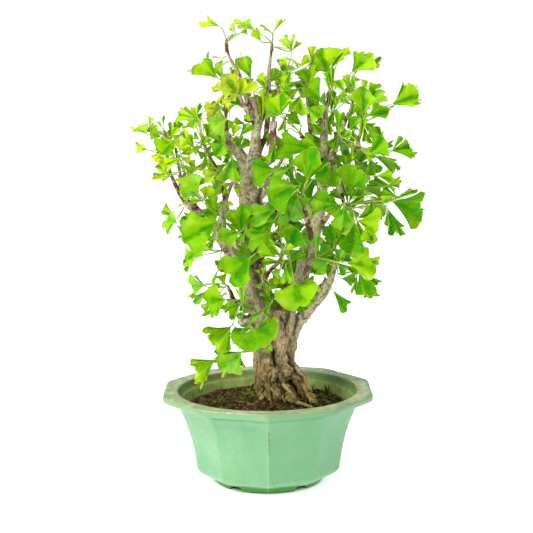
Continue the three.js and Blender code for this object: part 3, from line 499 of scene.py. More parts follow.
# A slim pale stem that lies on the trunk's front
PALE_STEM = rows_of("""
  288.4 338 -13 2.4, 290.2 328 -14 4, 292 318 -9 4.2, 293.8 306 -3 4.2, 295.4 294 2 4, 297 282 8 3.6
""")

# The left limb, the main limb, the right limb and the leader
TRUNKS = paths_of("""
  266 350 -6 12, 263 330 -10 11, 256 311 -12 10, 247 292 -14 9, 238 270 -16 8.4, 230 253 -16 7.6,
  219 236 -15 6.4, 207 221 -13 5.6, 197 211 -12 5.2, 187 203 -10 4.8, 180 193 -8 3.4, 174.5 183 -6 2.7,
  170.5 173 -4 2.3, 167.5 161 -3 1.9;
  273 342 14 19, 266 315 16 17, 258 285 18 15.5, 253 258 19 14.5, 249.5 234 20 13, 248.5 210 21 12,
  248.5 187 21 11.6, 249.5 172 21 10.5, 251 158 21 8.6;
  283 340 12 16, 284 315 15 14.5, 290 292 18 13, 297 273 20 11.6, 304 257 22 10, 312 238 25 8.6,
  318 222 27 7.6, 320.5 206 29 7, 322 188 30 6.4, 322.5 170 31 6, 323 153 31 5.6, 323.8 137 31 5.2,
  324 120 30 4.6, 326.5 108 29 3.6, 329 97 28 2.6;
  250.5 166 21 9, 254.5 150 21 7, 256 132 21 5.8, 256 114 20 5.4, 252 97 19 5
""")

# The last eight stand behind the trunk
BRANCHES = paths_of("""
  245.5 168 20 7, 239 156 17 5.8, 231 145 14 4.8, 224.5 135 12 3.8;
  257 156 22 5, 261.5 146 24 4, 266 135 26 3, 268 122 27 2.6, 269.4 104 26 2.6, 268.8 86 24 3,
  269.4 68 22 2.1, 271.6 49 21 1.7;
  254 155 18 6.5, 263 160 13 5.6, 270.5 160 10 5.4, 272.5 149 8 4.8, 273.4 135 8 4.3, 273.6 121 8 4.8;
  250 195 18 10, 258 195 12 8.4, 266 188 8 4.6;
  262 191 12 3.4, 270 179 10 2.6, 277 168 8 2.3, 284 156 7 2.3;
  255 118 18 3, 248 104 13 2.7, 243 87 9 2.4, 239 73 7 2.1, 233.5 65 5 1.9, 228.6 55 3 1.7,
  226.5 44 2 1.6;
  253 122 17 3, 247 110 12 3.4, 242 102 8 2.7, 239.4 95 5 2.2;
  273 124 9 2.4, 276 104 12 2.3, 279.6 88 13 2.1, 283 79 13 1.9;
  284 330 2 8, 290 318 -4 6, 294 303 -7 5.4, 300 288 -9 5, 306 275 -11 4.7, 310 260 -13 4.3,
  311.6 243 -15 4.2, 309.3 229 -17 3.6, 305.5 214 -19 3.2, 303.2 199 -20 2.6;
  256 304 4 5, 259.5 290 -6 3.6, 265 279 -11 2.8, 270.5 270 -15 2.8, 276.5 264.5 -18 2.6,
  281 258 -21 2.3, 282 250 -23 1.8;
  287 306 8 4, 286 290 -10 2.6, 285.2 277 -16 2.2, 285.4 266 -20 2;
  288 340 6 11, 297 323 2 8.6, 309 309 -3 7.2, 321 295 -7 6.6, 328.5 283 -9 5.4, 332.5 273 -10 4,
  334.6 261 -11 2.8;
  314 304 -3 5, 320 291 -1 4.2, 323 284 1 3.4;
  266 326 0 12, 252 322 -8 9.4, 240 320 -13 8;
  256 314 2 6, 243 304 -5 4, 234.5 301.5 -8 3.4, 230.6 292 -9 2.8, 228.6 288.6 -10 2.4;
  322 172 30 3.8, 316 155 25 3.2, 311 135 21 2.6, 308.6 118 19 2.3, 307.6 98.5 18 2;
  312 145 22 2.6, 306 140 15 2.3, 301 136 12 2.6;
  323.5 180 30 5, 329 163 26 4.6, 335.5 147 22 4.2, 339.6 133 20 3.6, 345 120.6 18 3.2, 350 112 17 2.6,
  352.5 104 17 2.2;
  323 188 30 4.6, 334 178 22 3.8, 345 168 12 3.2, 352.5 157 6 2.7, 357.2 146 3 2.5, 359.7 135 2 2,
  362.4 124.5 1 1.7;
  326 185 27 3.4, 335 182 16 3.4, 340 190 3 3.3, 343.6 202 -6 2.4;
  318 228 25 4.4, 324.5 221 20 3.2, 330.4 212.6 16 2.5;
  252 272 10 5, 263 256 2 3.2, 272.3 244 -4 2.7, 277 232 -8 2.5, 281 225 -10 2.1;
  224 244 -12 5.6, 222.6 227 -5 5, 222.8 212 -1 4.6, 225 200 2 3.4, 222.6 190 3 2.3, 219 180 2 2.2,
  216.4 169 0 2.1, 210 157 -2 1.9, 204.2 145.4 -4 1.7;
  225 203 2 3.2, 229 191 6 2.3, 232.4 182 9 2;
  223 213 -1 3.2, 232 218 -9 2.2;
  187 203 -10 4.4, 181 188 -15 2.8, 181 176 -19 2.5;
  181 179 -18 2.2, 178.7 166 -20 1.8, 176.6 156 -21 1.5, 175.3 148 -21 1.3;
  168 163 -3 2, 166.6 149 -1 1.7, 165 134 1 1.6;
  228.5 141 13 3.4, 226.6 125 9 1.8, 225.8 108 7 1.6;
  270 345 -8 9, 266 349.5 -22 4.4, 263 350 -26 2.6;
  226 249 -18 5, 223.4 250 -25 2.6;
  247 236 8 5, 243 237 -2 2.8, 242 232 -8 2.3;
  310 260 -13 3, 313 258.5 -18 2.3;
  196 211 -12 4, 193 199 -19 2.6;
  205 221 -13 4, 212 226 -19 2.5, 217 228 -22 2.2;
  256 204 16 7, 268 208 -2 3, 276 211 -12 2.3;
  249 212 24 8, 243 198 48 5.6, 235 184 70 4.2, 229 172 88 3;
  317 224 28 6.4, 309 208 52 5, 298 195 74 4, 289 184 92 2.8;
  292 290 22 8, 302 274 46 5.4, 311 260 70 4.2, 317 248 90 2.8;
  322 182 32 5, 333 168 56 4, 343 156 76 3, 350 142 90 2.4;
  254 266 22 8, 243 252 48 5.2, 233 240 72 4, 224 232 88 2.8;
  256 134 22 4.6, 262 118 42 3.4, 270 104 58 2.6, 276 92 68 2.2;
  324 128 32 4, 318 112 50 3, 310 98 64 2.4, 306 84 72 2;
  250 166 24 6, 238 148 44 4, 226 132 62 3, 218 120 74 2.2
""")

# Leafy spurs, with a row for each blade: u, v, edge u, edge v, the foot's depth, how much deeper
# the edge lies, span and roll in degrees, tone and cup
SPRAYS = sprays_of("""
  227 52 3 226.4 43 2, 219 26 203 20.4 -6 8 38 20 .38 .2;
  271.6 51 21 272 46.6 20.8, 254 30 242 22 30 8 62 25 .35 .3, 260.5 41 255 31.5 14 -6 62 20 .45 .35,
  273.4 32 281.5 19.5 16 6 28 35 .5 .2;
  281 85 13 283.6 77.6 13, 291.4 52 288 38.5 14 8 62 30 .6 .2, 299 67 309.5 58 18 4 52 30 .65 .3,
  283.6 77 273 74 22 8 70 15 .05 .2;
  328 102 28.5 329.3 93.2 27.8, 327 71 325.5 49 12 -8 88 15 .4 .3, 330.5 69 341 52 20 8 38 20 .55 .2,
  328 73 322 64 28 10 90 20 .1 .2, 332 89 329.4 71.5 4 -6 30 25 .2 -.2,
  334 99 346.5 94.5 14 0 46 35 .3 .2, 320.5 101 309 85.5 12 -10 68 20 .08 .2,
  320 107 312 96.5 34 6 60 20 .2 .2, 323 119 316 106.5 14 -8 70 20 .3 .25;
  350 112 17 352.6 103 17, 352 72 367 56.5 4 -6 78 15 .25 .35, 341.5 92 354.5 88.5 6 -6 55 25 .1 .2,
  333.5 110 337.6 99.5 12 -4 35 30 .25 .2;
  360.4 132 2 362.4 123.6 1, 362.6 114 365.6 91.5 -12 -10 74 10 .3 .35,
  371.5 99 377 88 12 8 72 20 .08 .2, 368 116 383.5 108 -4 -8 62 20 .15 .3,
  392 104 416 95 2 -6 60 20 .3 .3, 364.4 127 366 141.5 6 -4 40 20 .3 .2;
  307.8 104 18 307.5 97.6 18, 300 96.5 297 111 -2 -8 74 20 .35 .3, 296.5 82 284 87 4 -2 62 20 .25 .2,
  293 99 282 96 16 4 60 25 .35 .2;
  240.4 98 6 239 94 5, 217.6 78 200.4 63.5 0 -8 58 15 .15 .3, 223.6 79 215 63.5 10 4 50 20 .3 .2,
  251 78.5 243 59.5 4 -6 56 15 .15 .25, 231.6 79 233 68.5 14 0 28 30 .2 .1,
  238.6 89 236.4 73 -4 -6 16 60 .85 .1, 236.6 92 225.5 83 -12 -12 84 15 .9 .4,
  226 90 214.6 86 0 0 56 20 .75 .2, 240.4 94.5 247 84.5 -16 -10 72 20 .8 .4,
  247 91.5 256 85 -2 -4 56 20 .65 .3, 266 92 262 76 30 4 50 20 .35 .1;
  226 116 8 225.6 107 7, 219 107.5 206 113.5 -6 -6 88 20 .85 .3, 227.5 118 213 128 -14 -8 72 20 .2 .2;
  226 138 13 222.8 132.6 2, 233 135.5 236.5 124 6 2 66 20 .45 .2,
  240 136 249.5 125.5 2 -6 46 20 .25 .25, 224.5 142.5 215 152 -8 -8 88 15 .2 .3,
  207.5 140.5 209 124.5 14 4 44 25 .2 .2, 240 147 238 136.5 22 4 66 20 .1 .2;
  206.4 149 -3 203.2 143 -4.2, 196.6 117.5 182 112.5 4 4 58 20 .35 .25,
  196.4 116 200.6 105 -10 0 22 55 .12 .1, 194 147 186 136.5 -10 -4 66 20 .55 .25,
  206 153 205 166 -6 -2 40 30 .15 .2;
  165.8 142 0 164.8 134 1, 147 134 139 124.5 -2 4 92 15 .55 .35,
  170.6 137.5 174.5 126.5 -4 -6 56 15 .3 .3;
  181.4 181 -17 184.6 174 -24, 171 142.5 160.5 151 -36 -8 108 10 .12 .3,
  172 151 172 137.5 -28 6 92 20 .5 .3, 178.5 151 186.5 141 -30 2 66 20 .6 .25,
  168 160 156 158 -22 0 44 25 .65 .2, 170 173.5 155 177 -26 -6 12 65 .15 .1,
  188.6 177 191.6 165.5 -22 0 76 20 .5 .25;
  194 205 -15 193 197.6 -20, 199 193.5 184.6 184.5 -34 -8 108 10 .2 .3,
  204 200.5 191.5 201.2 -28 -4 36 45 .45 .2, 205 198.5 208 187.5 -24 -2 88 20 .65 .3,
  216 213 210 199 -30 -4 62 25 .12 .2, 218.6 212.5 209 217.5 -34 -8 84 20 .3 .35;
  218.6 178 1 217.6 171 -8, 217.6 172 205.5 176 -24 -6 72 15 .7 .3,
  223 181.5 214.5 192 -20 0 64 20 .35 .3;
  236 166 14 232 163 2, 232.4 157.5 228.6 181.5 -18 -4 64 15 .22 .3;
  214 227 -20 218.4 228.6 -24, 218 221.5 186.5 234 -46 -14 76 10 .25 .35,
  177 223 165 217.6 -36 6 96 10 .3 .3, 214 224.6 203.5 220.5 -34 0 50 25 .6 .2;
  225 249.6 -20 222.4 250.2 -27, 200.4 252 184.6 259 -44 0 74 15 .3 .4,
  218.6 269 211.4 281 -38 -2 22 55 .4 .1;
  230.2 292 -9 228.4 287.8 -10, 205 285 189.6 285.6 -22 6 76 15 .35 .35,
  209.6 289.6 195 300.6 -34 -6 34 25 .12 .2, 225.4 300 208 302 -44 -8 112 10 .35 .3,
  216 296 216.6 284 -30 4 34 20 .4 .1;
  246 312 -8 241.6 309 -14, 240.6 303.4 228.5 312.5 -36 -6 62 20 .3 .3,
  247 310.4 238 316.5 -24 -2 42 25 .15 .2, 242.8 308 241.6 289 -34 -4 22 35 .4 .2,
  230.6 327 217 346 -42 -8 76 10 .3 .3;
  244 238 -4 241.8 231.4 -9, 241 234.6 237.6 210 -22 -10 58 15 .25 .25,
  240.6 231.5 223.6 240 -30 -6 72 15 .3 .35;
  281.8 254 -22 282.4 246.8 -23.8, 251 257 230 274.6 -48 -10 84 8 .3 .35,
  274 232 248.6 239.5 -40 -8 46 20 .3 .45, 277 257 259.6 249.4 -30 -2 46 20 .55 .3,
  288 251 297.5 232.5 -30 -4 88 12 .1 .3, 292 261.5 304 252.5 -26 0 46 25 .15 .2,
  281.6 267 274 276.5 -28 0 52 20 .15 .2, 294 282 298 305 -44 -8 148 8 .5 .3;
  263.5 283 -10 261.6 278 -17, 279 300 267 304.6 -18 0 58 20 .08 .2;
  277 215 -8 279 209.6 -12, 278 207.6 254.6 215.4 -34 -10 54 10 .3 .4,
  273 221.4 256 232.5 -28 -4 50 20 .12 .2, 297 186 270 194 -40 -10 84 10 .2 .3,
  298 191 288 216 -24 -4 70 15 -.06 .25;
  279 165 8 284.4 155 7, 275.4 169.6 253.6 172 -24 -8 78 12 .25 .25, 294 180 286 167 4 -2 60 20 .06 .2,
  294 163 286.4 152 -8 -4 52 20 .35 .2;
  303.8 204 -19.4 303 197.6 -20, 316 150 281 144.5 -22 -6 44 15 .2 .4,
  307 179 306.6 154 -34 -8 74 8 .3 .5, 329.6 165.6 325.5 183.5 -24 -6 96 12 .2 .4;
  303 138 14 300.6 134 10, 280.6 114.5 275.6 96 -6 -6 84 10 .5 .45,
  279.6 116 265.6 111 6 0 60 20 .05 .2, 301 124 291 113.5 4 -4 44 20 .1 .2,
  276.6 107 268.6 93 20 4 54 20 .6 .2;
  346 167 11 343 174 0, 346 169.6 346 156 -6 0 64 20 .15 .2, 349.6 191 356 170.4 -26 -6 92 10 .22 .35,
  362 173.4 373.6 168.6 -4 2 78 20 .06 .2, 367 190 383 191.6 -12 2 62 20 .1 .2,
  377 175.6 392 176 -22 -2 66 15 .4 .2, 388 185.6 398.6 182 -14 0 60 20 .35 .2;
  356.4 148 3 360 147.6 -4, 369.4 153.4 385.6 142.4 -18 -8 82 12 .35 .3,
  391 151 412 146.6 -10 2 52 15 .25 .25, 378 156.6 366.4 155.6 -26 -2 66 20 .45 .2,
  378.6 155.4 396 164 -16 0 34 25 .15 .2, 338 131 339.6 112 2 -4 36 25 .15 .2,
  349.6 129.6 355.4 117 6 -2 64 15 .08 .2;
  342.4 197 -2 344 204.4 -7, 339 204.6 316.6 199 -32 -8 60 10 .22 .25,
  344 205.6 343 227 -42 -6 72 10 .3 .35, 355 222 351 252.6 -50 -8 56 8 .12 .6,
  358 221 380 224 -40 -4 84 12 .6 .25, 371.4 200 374 213 -30 -2 66 15 .2 .3,
  398 196 383 195 -28 4 34 25 .55 .2, 392 201 422.6 211 -24 -6 70 10 .14 .4,
  388 209 397 232 -14 0 44 15 .08 .2;
  311 259 -16 314.4 258.2 -20, 347 263 372.6 263 -44 -6 78 8 .62 .25,
  328.6 262 316.6 269 -34 -4 86 12 .15 .3, 334.4 243.6 329.4 228.6 -20 -4 62 15 .02 .2,
  315.8 255.6 317 237 -30 -2 34 25 .06 .2, 317.6 256.4 327 246 -38 0 56 20 .1 .2,
  338 263 341.6 249 -30 0 60 15 .15 .2, 341 262 351.6 257 -34 2 40 20 .12 .2,
  338 264 345.6 272.5 -26 -2 62 15 .15 .25;
  334 266 -10.5 334.8 259.6 -11, 359 273 366.6 294 -34 -6 58 10 .18 .25,
  341.6 278.4 355 280 -18 -2 68 15 .08 .25, 333 290.4 346.6 308 -26 -2 38 15 .06 .2;
  266 350 -23 262.4 350.4 -27, 215 360 195.6 375 -38 4 54 12 .3 .4,
  241.4 353 226 369.5 -52 -6 88 10 .22 .4, 252.6 328.6 261.5 349 -50 -8 186 8 .28 .35
""")
# Sprays behind the crown: their spur's start and tip, and how far their blades reach
SPRAYS += [{"from": row[:3], "tip": row[3:6], "blades": [], "reach": row[6]} for row in rows_of("""
  232 178 80 228.6 171 89.5 26, 292 188 85 288.6 183 93.5 30, 306 204 58 300 210 66 24,
  314 253 80 317.4 247 91.5 28, 347 148 84 350.4 141 91.5 28, 335 166 58 342 172 66 26,
  228 235 82 223.6 231.6 89.5 26, 273 98 64 276.6 91 69.5 22, 308 91 68 305.8 83 73 24,
  221 124 70 217.6 119 75.5 24
""")]
DRAWN_BLADES = 3  # blades of each spray behind
# Sheet units to the right and down that a (spray, blade) of those is moved by
MOVED_BLADES = {(42, 0): (-14, 8), (42, 1): (8, 22), (43, 0): (8, -4), (43, 1): (17, 12)}

# Small blades between the large ones: the spray's number, then as the blades above
SMALL_BLADES = rows_of("""
  1 233 32 230.5 26 8 3 60 30 .45 .2, 1 239.5 33 248 29.5 12 6 55 25 .4 .2,
  2 272.4 33.5 266 27.5 22 12 14 70 .4 .1, 3 287 66 281 60 8 0 90 35 .55 .2,
  4 335 89 338 81 22 4 55 20 .45 .2, 5 349 83 346 75 22 4 50 30 .55 .2,
  5 351.5 82 358 78.5 24 2 40 30 .7 .1, 6 362 90.5 366 83 10 2 62 20 .85 .2,
  6 368 124 374.5 126 8 2 50 20 .3 .1, 8 231 97 224.5 103 -10 -4 62 20 .9 .25,
  8 249 88 250 78 12 2 44 20 .3 .1, 10 227 150 230 157 2 0 60 20 .08 .1,
  11 195.8 118.5 191.5 127.5 -14 -4 64 15 .6 .25, 11 199.5 139.5 193 135 12 4 60 20 .5 .1,
  12 160.4 137 152 131 -14 -6 76 20 .2 .3, 12 163.6 126 163.6 116.5 1 0 24 30 .5 .1,
  12 162.4 128 158.6 121.5 6 0 24 30 .6 .1, 13 181 154 189.5 152 -22 0 56 20 .6 .2,
  13 147 149.6 139.5 147 -26 2 76 20 .5 .3, 13 170 162.5 161.5 165 -14 2 66 20 .6 .2,
  13 170 174 161 170 -12 4 46 20 .3 .2, 13 170.5 176 161 179.5 -18 0 40 25 .55 .2,
  14 184 203 178.4 205.8 -14 0 28 40 .2 .1, 15 216.4 168.6 210 166 -14 0 70 20 .15 .1,
  15 225 184.5 226.5 193.5 -14 0 40 25 .45 .2, 16 241 186.5 235 191 -4 0 76 20 .5 .2,
  16 241 170 238 179 -6 0 54 20 .35 .1, 17 184 227 178 229.5 -26 4 64 20 .12 .1,
  18 213 251.4 203.5 247.5 -36 4 34 30 .35 .1, 20 245 300.4 248.6 296 -22 2 72 20 .6 .1,
  21 225 205.4 219 202.6 -14 0 60 20 .75 .1, 21 225.4 204.6 232 202.4 -12 0 60 20 .75 .1,
  22 284.6 250 291.5 245.6 -38 -2 64 20 .65 .2, 23 264.6 283 271 290.5 -24 0 64 20 .55 .2,
  23 262 283.4 256.4 287.4 -22 0 60 20 .15 .1, 23 261 276 258 270 -22 0 40 20 .6 .1,
  23 262.4 275 264 268 -22 0 40 20 .6 .1, 23 272.4 299 277 295 -14 0 60 20 .3 .1,
  26 311 214 313 219 -24 0 50 20 .25 .1, 29 341.6 138.6 350 133 4 -2 54 20 .4 .2,
  30 354 209.6 358 216 -20 0 50 20 .15 .1, 33 234 337.6 235 344.6 -34 0 40 30 .7 .1,
  33 243 329.4 250 324.6 -30 0 46 20 .35 .1, 33 265.6 350.6 271 346.6 -32 0 80 20 .4 .2
""")

# Small tufts on the old wood
TUFTS = sprays_of("""
  250 121 18 246 120 10, 248.5 111 246 119.5 4 0 62 20 .5 .1;
  321.6 288 0 323.6 283.6 1.2, 322.4 282 327 278.6 0 0 56 20 .4 .1;
  296 306 -7 298.6 304 -13, 299 303.4 299.6 311.6 -24 0 62 20 .15 .1
""")

# The same for the sprays behind
BACK_BLADES = rows_of("""
  34 235.2 173.4 254 180.2 74 -5 70 -6 .39 .3, 34 223.2 175.5 212.5 184.5 110 10 70 -10 .5 .3,
  34 228.6 160 228.6 140 104 -7 95 22 .27 .3, 35 288.6 190 288.6 210 98 10 95 32 .2 .1,
  35 303.2 170.8 318.5 157.9 114 1 95 -35 .13 .3, 35 270.7 176.5 252 169.7 108 12 95 -5 .37 .2,
  36 293.9 213.5 276.6 223.5 86 7 95 -35 .14 .2, 36 295.5 204.6 282.6 189.3 80 -7 70 6 .35 .2,
  36 306.5 227.9 313.3 246.6 50 -1 70 26 .43 .1, 36 314.8 207.4 334.5 203.9 80 -8 70 5 .5 .3,
  37 318.6 253.9 322.1 273.6 76 5 95 23 .42 .2, 37 307.9 252.5 290.6 262.5 76 7 70 -15 .25 .1,
  37 327.7 243.2 346.5 236.4 106 4 70 -16 .22 .2, 37 316.2 240.1 313.2 223.4 96 12 70 28 .46 .3,
  38 335.8 153.2 320.5 166.1 96 -6 70 17 .18 .3, 38 356.9 158.9 363.7 177.6 96 -1 70 24 .45 .1,
  38 333.9 131.5 319.2 123 76 -8 70 -30 .39 .2, 38 352.3 130.2 354.7 116.4 76 6 70 22 .38 .2,
  39 335.1 173.2 315.4 176.7 70 4 70 1 .45 .1, 39 348.9 173.2 368.6 176.7 70 2 95 -2 .48 .2,
  39 334.5 159 324.5 141.7 50 1 95 -4 .23 .1, 39 343.2 178.9 346.7 198.6 80 9 95 23 .11 .2,
  40 216.7 230.4 197 226.9 74 -1 70 -37 .22 .3, 40 229 236.1 244.3 249 104 8 70 -16 .49 .2,
  40 229.7 228.1 247 218.1 74 -9 70 37 .5 .2, 40 221.7 220.8 218.2 201.1 74 9 70 24 .14 .3,
  41 274.2 97.6 268.4 113.6 74 4 70 1 .46 .3, 41 257.9 87.7 244.1 85.3 54 -5 70 -35 .24 .2,
  41 277.8 84.1 280.2 70.3 54 9 95 -28 .43 .2, 41 288.1 100.6 298.8 109.6 90 11 70 37 .35 .2,
  42 295 84.9 278.2 87.9 93 -4 70 7 .33 .2, 42 318 68.4 330.9 53.1 77 -7 70 -31 .38 .1,
  42 312.3 100.9 319.1 119.6 57 -8 70 5 .49 .2, 43 221.4 129.3 228.2 148.1 96 -9 70 9 .26 .1,
  43 227.1 102.5 237.1 85.2 60 6 70 -5 .22 .2, 43 202.6 119 188.6 119 96 2 70 33 .4 .1
""")

# Young blades that fill the crown, each on its nearest spur: u, v, edge u, edge v, span, tone
FILL_BLADES = rows_of("""
  150 128 151 117 30 .8, 141 130.5 131 128.5 25 .8, 159 134 149 126 50 .3, 172 136 179 122 40 .2,
  170 143 168 132 70 .25, 186 141 184 131 60 .6, 200 119 177 114 34 .45, 198 118 192 108 40 .45,
  195 124 183 127.5 20 .8, 147 150 135 147 60 .6, 161 152 154 161 60 .7, 168 148 157 152 60 .3,
  181 154 192 149 45 .7, 186 160 195 165 60 .6, 200 146 208 137 50 .5, 196 150 204 157 50 .3,
  168 172 157 163 50 .7, 171 176 160 168 40 .5, 176 174.5 153.5 178.5 12 .7, 190 174 181 186 50 .4,
  195 188 203 179 40 .35, 176 218 163 209 46 .5, 176 219 166 230 30 .55, 213 215 182 220 26 .08,
  212 206 203 216 60 .4, 181 158 190 160 60 .75, 192 143 186 153 50 .8, 206 160 200 170 50 .45,
  178 148 186 146 50 .65, 171 158 165 168 60 .6, 246 25 234 21 34 .45, 235 31 232 24 40 .8,
  249 76 238 57 24 .35, 222 58 214 56 16 .75, 266 84 259 75 50 .6, 269 82 276 69 60 .2,
  288 80 275 84 50 .3, 288 91 280 86 60 .4, 271 32 261.5 25 12 .45, 290 47 283 37 50 .6,
  292 50 299 42 34 .55, 293 60 299 66 34 .7, 292 60 285 58 30 .7, 311 60 312 46 44 .55,
  341 58 349 50 60 .5, 333 90 332 70 16 .35, 330 93 327 76 20 .35, 345 92 337 80 60 .45,
  349 93 346 78 22 .45, 356 90 351 79 44 .2, 362 80 353 78 24 .55, 362 90 365 81 44 .65,
  213 69 191 70 12 .2, 208 70 207.5 53 8 .3, 354 75 367 53 24 .35, 356 71 379 63 26 .36,
  368 95 376 83 54 .2, 395 104 405 84 14 .4, 397 103 415 89 20 .45, 372 107 383 95 60 .55,
  396 105 420 103 18 .55, 226 92 219 104 40 .95, 238 92 231 98 70 .9, 240 91 249 97 50 .9,
  220 100 214 106 50 .9, 226 119 217 113 50 .3, 256 107 257 94 34 .85, 262 121 262 96 30 .7,
  264 112 266 92 30 .5, 270 98 269 89 54 .8, 226 134 229 120 50 .35, 245 124 235 121 44 .4,
  222 144 213 130 60 .3, 222 146 214 158 60 .4, 238 151 249 141 40 .35, 229 151 226 164 30 .3,
  268 146 269 134 50 .3, 296 146 274 145 40 .3, 281 114 289 100 16 .5, 288 129 284 136 50 .3,
  243 164 237 172 44 .25, 220 173 210 180 50 .75, 224 180 213 184 50 .6, 232 183 222 187 50 .55,
  219 192 209 198 50 .5, 224 202 217 209 50 .85, 222 210 218 226 24 .45, 224 222 236 229 40 .35,
  247 233 253 214 40 .4, 216 231 211 241 40 .5, 246 230 240 241 40 .4, 266 178 253 184 40 .2,
  266 202 276 206 44 .2, 290 167 275 174 60 .25, 290 230 281 216 54 .2, 276 241 287 226 60 .6,
  281 228 269 239 50 .35, 288 172 297 187 40 .25, 206 176 214 166 50 .6, 232 158 240 168 44 .3,
  300 88 288 96 50 .45, 300 125 289 117 60 .35, 306 112 313 103 44 .3, 307 107 318 118 60 .25,
  322 126 311 129 60 .3, 320 140 309 146 70 .3, 322 150 302 138 44 .45, 327 107 320 95 50 .3,
  331 113 333 93 30 .55, 334 110 339 96 44 .3, 352 105 342 99 34 .3, 328 118 331 133 24 .4,
  338 135 330 148 60 .2, 349 118 353 130 60 .25, 352 130 356 141 54 .5, 350 117 357 104 44 .3,
  360 141 363 121 24 .35, 352 160 344 152 54 .2, 328 150 337 162 60 .25, 352 145 353 158 34 .35,
  312 122 320 133 60 .2, 316 152 308 158 50 .35, 334 122 342 130 60 .3, 344 142 334 136 50 .15,
  306 182 321 164 22 .6, 320 187 313 204 34 .45, 343 203 331 217 60 .4, 343 204 323 209 30 .35,
  341 183 337 168 34 .3, 344 200 330 192 40 .3, 348 205 345 182 18 .5, 349 203 354 188 30 .5,
  303 224 287 220 50 .3, 306 224 291 231 54 .4, 311 219 313 210 44 .6, 332 226 320 230 50 .15,
  346 226 336 233 54 .5, 345 206 355 216 40 .5, 350 203 363 198 34 .35, 357 220 362 242 44 .7,
  358 218 373 211 60 .6, 336 160 344 170 50 .25, 326 172 318 182 60 .3, 298 196 308 204 50 .3,
  312 246 304 236 44 .35, 362 122 371 128 50 .5, 388 153 375 130 36 .5, 376 153 391 143 26 .6,
  362 151 372 149 34 .4, 392 151 401 138 24 .35, 393 151 415 155 16 .35, 375 156 393 165 36 .25,
  370 158 373 171 70 .15, 384 156 400 167 18 .3, 366 177 379 166 44 .3, 379 176 393 170 34 .6,
  392 188 373 181 34 .2, 385 187 367 187 30 .3, 388 186 400 180 34 .5, 386 184 396 191 26 .35,
  397 197 382 190 40 .5, 392 200 414 190 18 .55, 404 203 424 212 16 .4, 400 203 416 221 22 .25,
  370 203 383 216 60 .7, 387 208 387 225 20 .15, 388 209 401 234 16 .3, 370 215 369 242 44 .65,
  208 223 183 240 20 .3, 202 251 184 262 34 .45, 191 262 185 271 30 .25, 204 285 189 297 18 .5,
  204 285 194.5 276 10 .35, 215 300 204 309 40 .45, 212 302 208 317 40 .5, 215 235 208 249 30 .45,
  247 258 219 269 34 .35, 277 250 265 239 40 .45, 283 262 265 261 30 .45, 286 283 272 276 60 .6,
  283 288 269 283 60 .7, 284 275 285 289 60 .65, 271 300 263 290 60 .3, 277 292 266 300 50 .35,
  282 257 267 245 44 .5, 285 252 276 240 40 .25, 286 266 286 282 50 .35, 239 303 250 310 50 .3,
  236 303 222 310 40 .5, 252 300 244 292 54 .55, 300 250 287 256 60 .3, 299 232 309 246 34 .35,
  290 262 288 279 50 .25, 296 287 317 283 50 .55, 290 287 271 281 40 .65, 300 294 314 303 50 .6,
  336 252 324 242 50 .3, 336 250 333 238 54 .25, 319 257 332 252 30 .55, 326 262 313 272 50 .3,
  334 260 329 271 40 .45, 338 263 357 272 24 .4, 338 262 349 254 24 .45, 350 262 367 277 12 .5,
  298 302 304 310 44 .3, 256 331 271 319 34 .5, 260 340 273 326 44 .5, 252 328 231 336 44 .28,
  262 330 245 323 22 .3, 240 352 215 356 30 .05, 238 354 222 373 24 .5, 238 351 243 367 20 .5,
  214 360 192 363 22 .35, 212 361 197 384 28 .5, 366 222 369 243 36 .65, 352 262 378 262 24 .65,
  360 272 377 285 30 .3, 362 276 372 298 34 .35, 236 244 246 252 40 .3, 262 312 252 318 50 .35,
  318 180 297 193 95 .25, 344 254 320 268 75 .3, 262 256 236 264 60 .3, 298 257 286 269 70 .2,
  394 199 373 203 40 .35, 325 154 325 170 40 .3, 229 327 208 336 50 .5, 180 158 164 164 50 .6,
  273 157 256 165 45 .3, 334 109 329 126 40 .45, 311 133 321 145 50 .35, 368 161 358 168 60 .3,
  275 142 271 160 35 .3, 226 164 216 170 60 .35, 182 134 173 140 60 .6, 357 275 355 291 30 .3,
  360 203 346 208 40 .15, 227 273 218 281 60 .4, 409 202 419 210 40 .4, 304 247 309 257 60 .2,
  212 144 206 154 50 .45, 291 71 285 81 60 .4, 248 236 246 247 40 .3, 286 115 282 131 30 .3,
  202 145 193 151 50 .5, 271 303 264 313 50 .3, 341 123 346 137 40 .35, 241 299 227 303 30 .4,
  355 138 348 147 60 .3
""")


# ------------------------------------------------------------------ settings
class BonsaiPotSettings(bpy.types.PropertyGroup):
    around: bpy.props.IntProperty(
        name="Points around", description="Points around the pot's walls", default=240, min=80)
    spacing: bpy.props.FloatProperty(
        name="Spacing", description="Spacing of the points up the walls",
        default=0.0034, unit="LENGTH")
    unevenness: bpy.props.FloatProperty(
        name="Unevenness", description="How far the walls wander from true",
        default=0.0005, unit="LENGTH")
    wear: bpy.props.FloatProperty(
        name="Wear", description="How much of the rim's glaze is worn and stained",
        default=0.6, min=0, max=1, subtype="FACTOR")
    glaze: bpy.props.FloatVectorProperty(
        name="Glaze", description="Main colour of the glaze", default=(0.160, 0.386, 0.200),
        min=0, max=1, subtype="COLOR")


class BonsaiSoilSettings(bpy.types.PropertyGroup):
    around: bpy.props.IntProperty(
        name="Points around", description="Points around the soil", default=260, min=60)
    rings: bpy.props.IntProperty(
        name="Rings", description="Rings of points over the soil's top", default=80, min=20)
    earth: bpy.props.FloatVectorProperty(
        name="Earth", description="Main colour of the soil", default=(0.046, 0.024, 0.005),
        min=0, max=1, subtype="COLOR")


